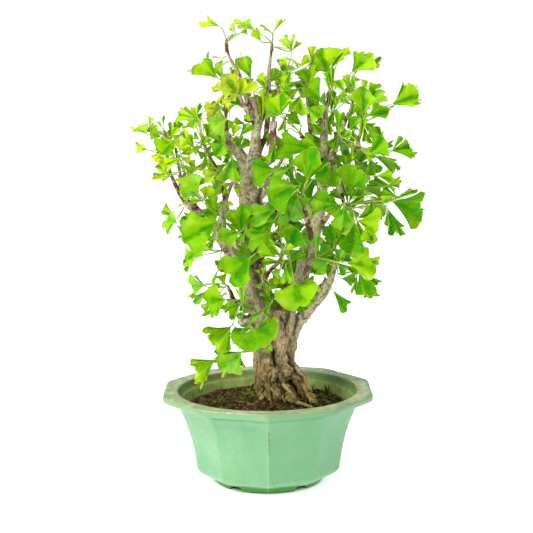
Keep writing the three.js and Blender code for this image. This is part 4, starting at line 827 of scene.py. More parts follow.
class BonsaiCoverSettings(bpy.types.PropertyGroup):
    crumbs: bpy.props.IntProperty(
        name="Crumbs", description="Grains and bits of bark on the soil", default=2200, min=0)
    twigs: bpy.props.IntProperty(
        name="Twigs", description="Bits of dry twig on the soil", default=280, min=0)
    moss: bpy.props.IntProperty(
        name="Moss", description="Tufts of moss on the soil", default=40, min=0)
    weeds: bpy.props.IntProperty(
        name="Weeds", description="Seedlings on the soil", default=70, min=0)


class BonsaiWoodSettings(bpy.types.PropertyGroup):
    voxel: bpy.props.FloatProperty(
        name="Grain", description="Size of the wood's mesh cells", default=0.00142,
        unit="LENGTH")
    fissures: bpy.props.FloatProperty(
        name="Fissures", description="Depth of the old bark's furrows", default=0.0020,
        unit="LENGTH")
    lumps: bpy.props.FloatProperty(
        name="Lumps", description="Height of the trunk's swellings", default=0.0022,
        unit="LENGTH")
    burrs: bpy.props.FloatProperty(
        name="Burrs", description="Height of the gnarled bark's burrs", default=0.0026,
        unit="LENGTH")
    rootlets: bpy.props.IntProperty(
        name="Rootlets", description="Thin roots over the root flare", default=26, min=0)
    bark: bpy.props.FloatVectorProperty(
        name="Bark", description="Main colour of the old bark", default=(0.63, 0.475, 0.215),
        min=0, max=1, subtype="COLOR")


class BonsaiLeafSettings(bpy.types.PropertyGroup):
    across: bpy.props.IntProperty(
        name="Across", description="Points across a blade", default=25, min=9)
    outward: bpy.props.IntProperty(
        name="Outward", description="Points from a blade's foot to its edge", default=9, min=4)
    thickness: bpy.props.FloatProperty(
        name="Thickness", description="Thickness of a blade near its foot", default=0.0005,
        unit="LENGTH")
    ripple: bpy.props.FloatProperty(
        name="Ripple", description="Ripple of a blade's edge, as a share of its length",
        default=0.1, subtype="FACTOR")
    green: bpy.props.FloatVectorProperty(
        name="Green", description="Main colour of the green sprays", default=(0.31, 0.58, 0.002),
        min=0, max=1, subtype="COLOR")
    yellow_green: bpy.props.FloatVectorProperty(
        name="Yellow-green", description="Main colour of the yellower sprays",
        default=(0.38, 0.59, 0.008), min=0, max=1, subtype="COLOR")


class BonsaiStageSettings(bpy.types.PropertyGroup):
    key: bpy.props.FloatProperty(
        name="Key light", description="Power of the soft light on the left", default=74.0)
    fill: bpy.props.FloatProperty(
        name="Fill light", description="Power of the soft light on the right", default=4.0)
    ambient: bpy.props.FloatProperty(
        name="Ambient light", description="Strength of the white surroundings", default=0.62)
    light: bpy.props.FloatVectorProperty(
        name="Light colour", description="Colour of both soft lights", default=(1.0, 0.94, 0.84),
        min=0, max=1, subtype="COLOR")


# ------------------------------------------------------------------ the pot
# Radius over the corners, height, and roundness from ten-sided 0 to round 1
POT_SECTION = rows_of("""
  0 20 1, 76 20 1, 81.5 22.4 1, 86 27 1, 94.5 61 1, 108 95 1, 112 107.5 1, 112.8 109.8 1, 113.6 111 1,
  115.8 111.9 1, 117 113.2 1, 117.5 115 1, 118.4 119.4 1, 119.1 121 1, 120.4 121.9 1, 122.5 122.2 .92,
  130 122.3 .5, 139.4 123 .04, 142.4 122.7 0, 143.7 121.6 0, 144.2 120 0, 144.2 116 0, 143.7 114.4 0,
  142.3 113.5 0, 140 113.2 0, 129.4 113 0, 126.8 112.2 0, 125 110.2 0, 119.4 99.4 0, 112.3 81.6 0,
  106 60.8 0, 102.4 44.2 0, 99.8 25.6 0, 99.1 21.4 0, 96.6 17.2 0, 93 14.4 0, 81.8 8.6 .1, 78 8.2 .6,
  74.6 7.8 1, 73.2 7 1, 72.8 4.6 1, 72.2 1.2 1, 71 0 1, 63.2 0 1, 62 1.2 1, 62 9.6 1, 60.6 11 1, 0 11 1
""")
CORNER_SHARPNESS = 80
CORNER_CUT = 0.999
ROUND_POINTS = 48  # points round a drain hole or a foot's arch
SHARP_ANGLE = 38  # degrees between faces from which an edge is sharp
TRUE_BELOW = 14  # mm of height below which the walls don't wander


def ten_sided(angle):
    """Radius of a ten-sided outline with softened corners, one of them at the front."""
    side = 2 * math.pi / POT_SIDES
    from_flat = (angle + math.pi / 2) % side - side / 2
    flat = math.cos(side / 2) / np.cos(from_flat)
    return (flat ** -CORNER_SHARPNESS + CORNER_CUT ** -CORNER_SHARPNESS) ** (
        -1 / CORNER_SHARPNESS)


def dense(section, spacing):
    """The section with its long runs split up, and 1 after each row of the inside."""
    top = max(i for i, row in enumerate(section) if row[2] == 1 and row[1] > POT_HEIGHT - 1)
    section = [[*row, float(i <= top)] for i, row in enumerate(section)]
    rows = [section[0]]
    for a, b in zip(section, section[1:]):
        steps = max(1, math.ceil(math.hypot(b[0] - a[0], b[1] - a[1]) / spacing))
        rows += [np.array(a) + (np.array(b) - a) * (i + 1) / steps for i in range(steps)]
    return np.array(rows)


def pot_points(rows, around):
    angles = turns_of(around)
    round_share = rows[:, 2:3]
    outline = round_share + (1 - round_share) * ten_sided(angles)
    return np.stack([
        rows[:, :1] * outline * np.cos(angles), rows[:, :1] * outline * np.sin(angles),
        rows[:, 1:2] + 0 * outline], axis=-1)


def glaze_finish(glaze, wear):
    f = Finish("mint_glaze")
    x, y, z = f.axis("X"), f.axis("Y"), f.axis("Z")
    below = POT_HEIGHT * MM - z
    radius = (x * x + y * y) ** 0.5
    cloud = f.noise(14, 4, 0.6)
    fine = f.noise(420, 3, 0.6)
    streak = f.noise(1, 4, 0.65, f.stretched(90, 90, 16))
    grime_and_shade = f.noise(60, 5, 0.7)
    f.base = f.ramp(
        cloud, (0.32, (0.126, 0.338, 0.166)), (0.5, glaze),
        (0.68, (0.202, 0.432, 0.242)))
    f.coat(streak.between(0.45, 0.7) * 0.3, (0.12, 0.34, 0.16))
    smear = f.noise(1, 5, 0.75, f.stretched(36, 36, 60)).between(0.54, 0.68)
    f.coat(smear * 0.3, (0.29, 0.49, 0.31))
    # painted facet shade: the glaze is painted deeper to the right of the front corner and on the far
    # left
    deeper = x.between(-0.002, 0.004) * 0.5 + x.between(-0.064, -0.074) * 0.3
    f.coat(deeper, (0.095, 0.315, 0.145))
    # the foot is painted a deeper green, partly the glaze's own colour and partly painted shade low on
    # the pot
    f.coat(z.between(0.0168, 0.0112) * 0.92, (0.058, 0.27, 0.055))
    ring_moss = z.between(0.0155, 0.012) * f.noise(55, 3, 0.6).between(0.5, 0.62)
    f.coat(ring_moss * 0.6, (0.075, 0.27, 0.012))
    # painted shade: a dark band on the wall just under the lip, made patchy by a noise that also
    # drives the grime
    painted_lip_shade = below.between(0.0185, 0.012) * radius.between(0.1375, 0.134)
    painted_lip_shade = painted_lip_shade * below.between(0.009, 0.0105)
    f.coat(painted_lip_shade * (0.35 + 0.9 * grime_and_shade), (0.055, 0.25, 0.085))
    pale_speck = f.cells(330).between(0.16, 0.06) * fine.between(0.45, 0.6)
    f.coat(pale_speck * 0.5, (0.46, 0.62, 0.42))
    dark_speck = f.cells(210).between(0.12, 0.05) * f.noise(37).between(0.5, 0.62)
    f.coat(dark_speck * 0.75, (0.07, 0.12, 0.045))
    # the front corner: a pale line down it as a painted highlight, and a broken dark crack beside it
    front = y.between(-0.06, -0.07)
    run = (x + 0.0012 * f.noise(120)).size().between(0.0018, 0.0005) * front
    f.coat(run * streak.between(0.35, 0.6) * 0.3, (0.38, 0.58, 0.40))
    seam = (x - 0.0022 + 0.0022 * f.noise(150)).size().between(0.0015, 0.0008) * front
    seam = seam * f.noise(90, 4, 0.7).between(0.45, 0.52) * (z - 0.078).size().between(0.021, 0.012)
    f.coat(seam * 0.6, (0.075, 0.12, 0.045))
    # scratches and bare spots low on the left of the front corner
    scar = f.noise(1, 3, 0.7, f.stretched(70, 70, 330)).between(0.61, 0.66)
    scar = scar * (x + 0.034).size().between(0.028, 0.012) * y.between(-0.05, -0.07)
    scar = scar * (z - 0.022).size().between(0.016, 0.006)
    f.coat(scar * 0.8, (0.42, 0.45, 0.33))
    rust = f.noise(150, 3, 0.7).between(0.61, 0.66) * f.noise(23).between(0.48, 0.6)
    rust = rust * (z - 0.016).size().between(0.018, 0.007)
    f.coat(rust * 0.85, (0.17, 0.085, 0.025))
    spots = f.cells(46).between(0.075, 0.045) * f.noise(19, 2).between(0.5, 0.56)
    f.coat(spots * 0.8, (0.26, 0.15, 0.06))
    # the rim's worn and stained top, which wears away to clean glaze over the lip's edge
    lip = below.between(0.0018, 0.0002)
    top = lip * radius.between(0.1165, 0.1185)
    worn = f.ramp(
        f.noise(75, 5, 0.65), (0.3, (0.22, 0.24, 0.12)), (0.46, (0.38, 0.45, 0.25)),
        (0.6, (0.48, 0.56, 0.37)), (0.76, (0.64, 0.68, 0.54)))
    patchy = (f.noise(30, 4, 0.7) + 0.25 * streak).between(0.6 - 0.36 * wear, 0.68)
    f.coat(top * patchy * 0.92, worn)
    shoulder = below.between(0.0088, 0.0046) * radius.between(0.134, 0.137)
    f.coat(
        shoulder * f.noise(1, 4, 0.7, f.stretched(40, 40, 300)).between(0.3, 0.55) * 0.75,
        (0.19, 0.335, 0.155))
    brown = f.noise(48, 4, 0.7).between(0.56, 0.7) * radius.between(0.131, 0.1195)
    f.coat(top * brown * 0.9, (0.15, 0.095, 0.04))
    edge = (radius - 0.1387).size().between(0.0042, 0.0012) * below.between(0.003, 0.0012)
    f.coat(edge * f.noise(95, 4, 0.7).between(0.5, 0.6) * 0.5, (0.36, 0.40, 0.27))
    # inside: grimy under the rim and dirty down to the soil
    inside = f.mark("pot_inside") * below.between(0.0006, 0.0016)
    f.coat(inside * (0.5 + 0.4 * grime_and_shade), (0.17, 0.315, 0.06))
    stain = f.noise(21, 4, 0.7).between(0.46, 0.58) * x.between(0.085, 0.03)
    f.coat(inside * stain * 0.7, (0.25, 0.20, 0.055))
    ledge = inside * below.between(0.0104, 0.0114)
    f.coat(
        ledge * 0.8, f.ramp(grime_and_shade, (0.32, (0.20, 0.20, 0.06)), (0.48, (0.33, 0.46, 0.13)),
        (0.66, (0.34, 0.54, 0.20))))
    damp = ledge * (z + 0.012 * (grime_and_shade - 0.5)).between(0.1, 0.0955)
    f.coat(damp * 0.8, (0.11, 0.085, 0.03))
    f.coat(inside * f.noise(90, 4, 0.75).between(0.56, 0.63) * 0.65, (0.21, 0.095, 0.025))
    # the unglazed foot and floor
    bare = z.between(0.0022, 0.0008).higher(radius.between(0.0612, 0.0604))
    bare = bare * z.between(0.014, 0.012)
    f.coat(bare * 0.95, f.ramp(grime_and_shade, (0.35, (0.06, 0.032, 0.015)), (0.65, (0.14, 0.085, 0.045))))
    roughness = (0.3 + 0.22 * (fine - 0.5) + top * 0.22 + inside * 0.35 + bare * 0.5).lower(0.9)
    height = 0.55 * f.noise(110, 3, 0.5) + 0.2 * fine - 0.5 * dark_speck - scar * 0.5
    height = height - rust * 0.6 - seam - spots * 0.7
    return f.surface(
        roughness, f.bump(height, 0.0006, 0.55), Specular_IOR_Level=0.42,
        Coat_Weight=0.12, Coat_Roughness=0.18)


def cutter(shape, name):
    """An unseen body that is cut away from another."""
    return piece_of(shape.mesh(name), name)


def cut_away(piece, cutters):
    bpy.context.view_layer.objects.active = piece
    for body in cutters:
        cut = piece.modifiers.new("cut", "BOOLEAN")
        cut.operation = "DIFFERENCE"
        cut.solver = "EXACT"
        cut.object = body
        bpy.ops.object.modifier_apply(modifier=cut.name)
        bpy.data.objects.remove(body)


def build_pot(settings):
    rows = dense(POT_SECTION, settings.spacing / MM)
    grid = pot_points(rows[1:-1], settings.around)
    count = len(grid)
    flat = grid.reshape(-1, 3)
    out = units(flat * [1, 1, 0])
    sway = settings.unevenness / MM
    above = np.clip((flat[:, 2:] - TRUE_BELOW) / 20, 0, 1)
    flat = flat + out * above * sway * layered_noise(flat / 34, 3, 3)[:, None]
    on_lip = np.clip((flat[:, 2:] - POT_HEIGHT + 2.5) / 2, 0, 1)
    chip = np.clip(lattice_noise(flat / 5.5, 9)[:, None] - 0.62, 0, 0.3)
    flat = flat - on_lip * chip * (out * 2.4 + [0, 0, 3.0])
    low, high = count * settings.around, count * settings.around + 1
    points = np.vstack([flat, [[0, 0, FLOOR_LEVEL], [0, 0, FOOT_HEIGHT]]])
    shape = Shape()
    faces = [face[::-1] for face in grid_faces(count, settings.around, True)]
    last = (count - 1) * settings.around
    for i in range(settings.around):
        j = (i + 1) % settings.around
        faces += [(low, i, j), (high, last + j, last + i)]
    inside = np.append(np.repeat(rows[1:-1, 3], settings.around), [1, 0])
    shape.add(points, [face[::-1] for face in faces], pot_inside=inside)
    pot = shape.piece("bonsai_pot", glaze_finish(tuple(settings.glaze), settings.wear))
    cutters = []
    turns = turns_of(ROUND_POINTS)
    for i in range(FOOT_COUNT):
        turn = 2 * math.pi * i / FOOT_COUNT + math.pi / 2
        out = outward(turn)
        side = np.array([-out[1], out[0], 0])
        ring = (np.cos(turns)[:, None] * side * ARCH_WIDTH / 2
                + np.sin(turns)[:, None] * np.array([0, 0, ARCH_RISE]))
        arch = Shape()
        arch.add([ring + out * r for r in (FOOT_INNER - 4, FOOT_RADIUS + 6)],
                 tube_faces(2, len(turns)))
        cutters.append(cutter(arch, f"arch_{i}"))
    for i in range(DRAIN_COUNT):
        turn = 2 * math.pi * i / DRAIN_COUNT + math.pi / 2
        middle = outward(turn) * DRAIN_OFFSET
        ring = middle + np.stack([np.cos(turns), np.sin(turns), 0 * turns], 1) * DRAIN_RADIUS
        hole = Shape()
        hole.add([ring + [0, 0, z] for z in (FOOT_HEIGHT - 3, FLOOR_LEVEL + 3)],
                 tube_faces(2, len(turns)))
        cutters.append(cutter(hole, f"drain_{i}"))
    cut_away(pot, cutters)
    pot.data.set_sharp_from_angle(angle=math.radians(SHARP_ANGLE))
    dress(pot, "glaze", "pot")


# ------------------------------------------------------------------ the soil and what lies on it
FOOT_HEAP = 4.5  # mm of soil and litter heaped against the trunk's foot
LITTER_REACH = 103  # mm from the pot's axis that litter and thin roots keep within
MOSS_REACH = 99
TWIG_REACH = 98
COVER_REACH = 96  # the same for weeds and grass at the front
SOIL_NEAR, SOIL_FAR = 1500.0, 2000.0  # mm before the eye that the soil lies between
HALVINGS = 24
COVER_SEED, ROOTLET_SEED, CROWN_SEED, LEAF_SEED = 77, 19, 11, 5
ROUND = 6.28  # a full turn, for random headings
LEAF_TURN = 2.4  # the turn from one leaf of a seedling to its next
# Blades of grass at the pot's right: u, v and height in mm
GRASS_PLACES = ((341, 391, 17), (343.5, 392, 20), (339, 393, 13), (346, 393, 12))


def soil_height(x, y):
    """Height of the soil's top, with its lumps."""
    across = np.hypot(x, y)
    place = np.stack([x, y, 0 * x], -1).reshape(-1, 3)
    relief = layered_noise(place / 17, 4, 21).reshape(np.shape(x))
    mound = SOIL_EDGE + SOIL_MOUND * np.exp(-(across / MOUND_SPREAD) ** 2)
    rim = np.clip((across - 96) / 10, 0, 1)
    bank = 6 * np.clip((y - 8) / 60, 0, 1) * np.clip((across - 45) / 45, 0, 1)
    heap = FOOT_HEAP * np.exp(-((x + 6) / 26) ** 2 - ((y + 38) / 15) ** 2)
    return mound - 0.6 + bank + heap + relief * (2.2 - 1.2 * rim)


def soil_finish(earth):
    f = Finish("bark_soil")
    grain = f.noise(260, 5, 0.7)
    lump = f.noise(52, 4, 0.6)
    chips = f.cells(190.0, output="Color")
    tint = f.node("ShaderNodeSeparateColor", None, {0: chips}, 0)
    f.base = f.ramp(
        tint, (0.0, (0.020, 0.010, 0.002)), (0.35, earth),
        (0.7, (0.095, 0.052, 0.012)), (1.0, (0.22, 0.14, 0.05)))
    f.coat(grain.between(0.4, 0.68) * 0.6, (0.030, 0.018, 0.010))
    f.coat(lump.between(0.52, 0.72) * 0.4, (0.085, 0.05, 0.018))
    green = f.noise(31, 4, 0.7).between(0.54, 0.66)
    f.coat(green * grain.between(0.4, 0.55) * 0.6, (0.09, 0.13, 0.03))
    height = grain + 0.8 * f.cells(210) + 0.4 * f.noise(900, 2)
    return f.surface(0.92, f.bump(height, 0.0022, 0.9), Specular_IOR_Level=0.2)


def build_soil(settings):
    around, rings = settings.around, settings.rings
    wall = [[0, 20.4], [76, 20.4], [81, 22.8], [85.6, 27.4], [94.1, 61.2], [107.4, 94.4]]
    turns = turns_of(around)
    circle = np.stack([np.cos(turns), np.sin(turns)], 1)
    rows = [np.column_stack([circle * r, np.full(around, z)]) for r, z in wall[1:]]
    for share in np.linspace(1, 0, rings, endpoint=False):
        radius = 107.6 * share ** 0.85
        xy = circle * radius
        rows.append(np.column_stack([xy, soil_height(xy[:, 0], xy[:, 1])]))
    points = np.vstack(rows + [[[0, 0, wall[0][1]]], [[0, 0, soil_height(0.0, 0.0)]]])
    bottom = len(rows) * around
    faces = grid_faces(len(rows), around, True)
    last = (len(rows) - 1) * around
    for i in range(around):
        j = (i + 1) % around
        faces += [(bottom, j, i), (bottom + 1, last + i, last + j)]
    shape = Shape()
    shape.add(points, faces)
    soil = shape.piece("potting_soil", soil_finish(tuple(settings.earth)))
    dress(soil, "soil", "soil")


def ball(detail):
    """Points and faces of a ball of radius 1."""
    built = bmesh.new()
    bmesh.ops.create_icosphere(built, subdivisions=detail, radius=1)
    points = np.array([vertex.co[:] for vertex in built.verts])
    faces = [[vertex.index for vertex in face.verts] for face in built.faces]
    built.free()
    return points, faces


def turned_about(points, spin, tilt, lean):
    """Points turned by three angles."""
    turn = (Matrix.Rotation(spin, 3, "Z") @ Matrix.Rotation(tilt, 3, "X")
            @ Matrix.Rotation(lean, 3, "Y"))
    return points @ np.array(turn).T


def ribbon(line, widths, up, thickness=0.25):
    """A thin pointed leaf along a line of places: points and faces, ready for a shape."""
    line = np.asarray(line, float)
    along = units(np.gradient(line, axis=0))
    side = units(np.cross(along, up))
    over = np.cross(side, along)
    widths = np.asarray(widths)[:, None] / 2
    rings = np.stack([
        line + side * widths + over * widths * 0.35, line + over * thickness / 2,
        line - side * widths + over * widths * 0.35, line - over * thickness / 2], 1)
    return rings, tube_faces(len(line), 4)


def cover_finish():
    f = Finish("ground_cover")
    kind = f.mark("cover_tone")
    f.base = f.ramp(
        kind, (0.0, (0.016, 0.009, 0.003)), (0.35, (0.045, 0.026, 0.009)),
        (0.6, (0.095, 0.060, 0.022)), (0.85, (0.20, 0.145, 0.06)), (1.0, (0.38, 0.30, 0.16)))
    grain = f.noise(1, 3, 0.7, f.stretched(1500, 420, 1500))
    f.coat(grain.between(0.4, 0.7) * 0.5, (0.045, 0.027, 0.015))
    return f.surface(
        0.9, f.bump(grain, 0.0006, 0.6), Specular_IOR_Level=0.2)


def moss_finish():
    f = Finish("moss_and_weeds")
    tone = f.mark("moss_tone")
    f.base = f.ramp(
        tone, (0.0, (0.030, 0.055, 0.006)), (0.4, (0.065, 0.125, 0.010)),
        (0.7, (0.13, 0.27, 0.015)), (1.0, (0.30, 0.46, 0.04)))
    fuzz = f.noise(1300, 3, 0.7)
    f.coat(fuzz.between(0.45, 0.7) * 0.3, (0.22, 0.30, 0.04))
    return f.surface(0.75, f.bump(fuzz, 0.0005, 0.6), Specular_IOR_Level=0.3)


# Plants that stand clear of the soil at the front: u, v and height in mm
WEED_PLACES = rows_of("""
  235 391 7, 214 404 5, 219 398 5, 289 398 6, 243 401 5, 303 404 5, 330 398 7, 199 396 6, 322 388 8,
  352 392 5
""")


def on_soil(u, v):
    """The place on the soil that a sheet place falls on."""
    sight = (on_sheet(u, v, 0) - EYE) / -EYE[1]
    low, high = SOIL_NEAR, SOIL_FAR
    for _ in range(HALVINGS):
        middle = (low + high) / 2
        point = EYE + sight * middle
        if point[2] > soil_height(point[0], point[1]):
            low = middle
        else:
            high = middle
    return point


def rooted(u, v):
    """The place on the soil that a sheet place falls on, kept clear of the pot's wall."""
    point = on_soil(u, v)
    point[:2] *= min(1.0, COVER_REACH / np.hypot(*point[:2]))
    point[2] = soil_height(point[0], point[1])
    return point


def spot_within(reach, draw):
    """A drawn place, level with the pot's axis and within a reach of it."""
    radius = reach * next(draw) ** 0.6
    angle = 2 * math.pi * next(draw)
    return radius * math.cos(angle), radius * math.sin(angle)


def strew_crumbs(shape, count, draw):
    fine, coarse = ball(2), ball(1)
    for i in range(count):
        points, faces = fine if i % 5 == 0 else coarse
        x, y = spot_within(LITTER_REACH, draw)
        size = 0.7 + 1.7 * next(draw) ** 3
        flat = 0.25 + 0.75 * next(draw)
        stretch = 1 + 1.6 * next(draw) ** 2
        lumpy = points * (1 + 0.28 * lattice_noise(points * 1.7 + i, 5)[:, None])
        lumpy = turned_about(
            lumpy * [stretch, 1, flat] * size, ROUND * next(draw), 0.9 * (next(draw) - 0.5),
            0.9 * (next(draw) - 0.5))
        place = np.array([x, y, soil_height(x, y) + size * flat * 0.35])
        shape.add(lumpy + place, faces, cover_tone=0.9 * next(draw) ** 1.8)


def strew_twigs(shape, count, draw):
    for _ in range(count):
        x, y = spot_within(TWIG_REACH, draw)
        angle, length = ROUND * next(draw), 5 + 17 * next(draw) ** 2
        ahead = np.array([math.cos(angle), math.sin(angle)])
        bend = (next(draw) - 0.5) * 5
        thick = 0.2 + 0.4 * next(draw) ** 2
        line = []
        for t in np.linspace(-0.5, 0.5, 7):
            at = np.array([x, y]) + ahead * length * t + ahead[::-1] * [1, -1] * bend * t * t * 4
            line.append([*at, soil_height(*at) + 0.9, thick * (0.7 + 0.6 * next(draw))])
        shape.tube(np.array(line), 6, cover_tone=0.35 + 0.6 * next(draw))


def grow_moss(shape, count, draw):
    points, faces = ball(1)
    for _ in range(count):
        x, y = spot_within(MOSS_REACH, draw)
        size = 3 + 6 * next(draw)
        if y < 8 and abs(x - 8) < 62:  # the soil before the trunk is bare
            continue
        tone = 0.15 + 0.5 * next(draw)
        for _ in range(int(size * 7)):
            spread = size * next(draw) ** 0.5
            angle = ROUND * next(draw)
            at = np.array([x + spread * math.cos(angle), y + spread * math.sin(angle)])
            if np.hypot(*at) > LITTER_REACH:
                continue
            tuft = 0.6 + 1.1 * next(draw)
            lumpy = points * (1 + 0.3 * lattice_noise(points * 2 + at.sum(), 6)[:, None])
            rise = 1.4 * math.sqrt(max(0, 1 - (spread / size) ** 2))
            shape.add(
                lumpy * [tuft, tuft, tuft * 1.1] + [*at, soil_height(*at) + rise * 0.6], faces,
                moss_tone=tone + 0.3 * (next(draw) - 0.5))


def grow_seedlings(shape, count, draw):
    spots = [(rooted(u, v), height) for u, v, height in WEED_PLACES]
    for _ in range(count):
        x, y = spot_within(TWIG_REACH, draw)
        if y < -10 and abs(x) < 52 and next(draw) < 0.8:  # few before the trunk
            continue
        spots.append((np.array([x, y, soil_height(x, y)]), 2.5 + 4 * next(draw)))
    for place, height in spots:
        tone = 0.3 + 0.5 * next(draw)
        for k in range(5 + int(4 * next(draw))):
            out = outward(LEAF_TURN * k + next(draw))
            reach = height * (0.5 + 0.6 * next(draw))
            line = [place + out * reach * t * 0.7 + [0, 0, height * (1.5 * t - 0.7 * t * t)]
                    for t in np.linspace(0, 1, 6)]
            widths = np.array([0.3, 0.6, 1.0, 1.1, 0.8, 0.1]) * (0.6 + height / 12)
            rings, faces = ribbon(line, widths, [0, 0, 1.0])
            shape.add(rings, faces, moss_tone=tone + 0.15 * (next(draw) - 0.5))


def grow_grass(shape, draw):
    for u, v, height in GRASS_PLACES:
        foot = rooted(u, v)
        for k in range(4):
            out = outward(1.3 * k + next(draw)) * height
            line = np.array([
                foot + out * 0.25 * t * t + [0, 0, height * t * (0.7 + 0.3 * next(draw))]
                for t in np.linspace(0, 1, 8)])
            line[:, 2] = np.maximum.accumulate(line[:, 2])
            widths = [1.2, 1.5, 1.6, 1.5, 1.3, 1.0, 0.7, 0.1]
            rings, faces = ribbon(line, widths, unit(np.array([out[1], -out[0], 0.1])))
            shape.add(rings, faces, moss_tone=0.2 + 0.3 * next(draw))


def build_cover(settings):
    draw = draws_from(COVER_SEED)
    litter, green = Shape(), Shape()
    strew_crumbs(litter, settings.crumbs, draw)
    strew_twigs(litter, settings.twigs, draw)
    dress(litter.piece("soil_litter", cover_finish()), "soil")
    grow_moss(green, settings.moss, draw)
    grow_seedlings(green, settings.weeds, draw)
    grow_grass(green, draw)
    dress(green.piece("moss_and_seedlings", moss_finish()), "soil")


# ------------------------------------------------------------------ the wood
def placed(path):
    """A path's places in mm, with their radii."""
    return np.array([[*on_sheet(u, v, depth), radius] for u, v, depth, radius in path])


def wood_lines():
    return [smoothed(placed(path), 3) for path in [BARK_BUTT, *TRUNKS, *BARK_ROOTS, *BRANCHES]]


# Dents of the trunk's front: u and v along each, then its half width, depth in mm and the strength of
# the painted shade in it
CREASES = paths_of("""
  273 353, 272.6 357, 274 361, 275.4 366, 3 8 1;
  271 316, 272.6 326, 272 336, 273.4 346, 273 352, 2.2 4 .35;
  275.4 366, 270 371, 266 380, 262 391, 1.8 2.5 .3;
  289 300, 288 312, 287 324, 286.6 335, 1.7 4 .7;
  298 306, 296.4 320, 294 334, 1.7 4 .7;
  290 340, 288.4 349, 289.6 358, 1.8 3 .4;
  292 382, 296 388, 300 394, 303 400, 4.4 6 1;
  291 366, 294 371, 298 375, 1.8 3 .8;
  277 383, 281 391, 286 399, 2.4 4 .9;
  243 149, 246 154, 250 159, 2.6 3 .9;
  263 151, 259 158, 2.4 3 .8;
  254.5 246, 257 262, 258.5 280, 259 290, 4.5 2.4 .7;
  259 187, 260 196, 258 206, 4.2 4 .9;
  300 376, 307 386, 313 397, 1.8 3 .7;
  280.4 316.4, 282 319.4, 1.8 3 .9;
  283.4 324, 284.6 327, 283 330, 1.2 1.6 .8;
  262 350, 261 366, 262 384, 1.4 1.2 .15;
  256.4 356, 257 376, 258 392, 1.2 1 .1;
  279 352, 280 362, 1.2 1.6 .5;
  282 318, 284 323, 287 326, 1.6 2.4 .9;
  288 352, 291 358, 289 364, 2.4 3 .8;
  276 380, 283 378, 290 377, 1.6 2 .7;
  270 384, 277 386, 282 391, 1.8 2 .6;
  238 246, 243 258, 247 270, 3 2 .55;
  321 176, 320 196, 2.4 1.6 .5;
  284 368, 277 373, 1.8 2.4 .5
""")
# Swellings of the trunk's front: u, v, radius and height in mm
SWELLINGS = rows_of("""
  292 366 7 5, 286 371 7 3, 282 357 7 3, 277 372 6 2.4, 281 326 6 2.6, 292 343 6 2, 266 398 8 2.4,
  281 345 8 1.8, 295 378 5 2, 263 372 9 1.4, 302 390 5 1.6, 287 386 5 1.6, 275 338 6 1.6, 284 305 7 2,
  261 318 7 2
""")

# Where the bark is gnarled all over: u, v and radius in mm
GNARLS = rows_of("""
  284 388 24, 296 378 16, 291 362 10, 275 366 9, 293 344 9, 280 322 9, 304 318 9, 262 398 12,
  306 396 16, 250 178 10, 250 262 9, 252 196 8, 322 196 7, 322 160 6, 248 318 12
""")


LIMB_SPACING = 311.0  # mm that keep the bark patterns of two limbs apart


class LimbSpace:
    """Finds the limb that a point lies on and the point's place along and around it."""

    def __init__(self, lines):
        centres, radii, frames, runs = [], [], [], []
        for number, line in enumerate(lines):
            fine = smoothed(line, 1.2)
            along = units(np.gradient(fine[:, :3], axis=0))
            side = np.cross(along[0], [0.31, 0.95, 0.05])
            run = number * LIMB_SPACING
            for i, (centre, ahead) in enumerate(zip(fine, along)):
                side = unit(side - ahead * (side @ ahead))
                if i:
                    run += np.linalg.norm(centre[:3] - fine[i - 1][:3])
                centres.append(centre[:3])
                radii.append(centre[3])
                frames.append([side, np.cross(ahead, side)])
                runs.append(run)
        self.centres, self.radii = np.array(centres), np.array(radii)
        self.frames, self.runs = np.array(frames), np.array(runs)

    def places(self, points):
        """Place in limb space, along the last axis, and the limb's radius."""
        nearest = []
        squares = (self.centres ** 2).sum(1)
        for part in np.array_split(points, max(1, len(points) // 2000)):
            apart = (part ** 2).sum(1)[:, None] + squares - 2 * part @ self.centres.T
            nearest.append(np.argmin(np.sqrt(np.maximum(apart, 0)) - self.radii, axis=1))
        nearest = np.concatenate(nearest)
        off = points - self.centres[nearest]
        around = np.einsum("nij,nj->ni", self.frames[nearest], off)
        return np.column_stack([around, self.runs[nearest]]), self.radii[nearest]


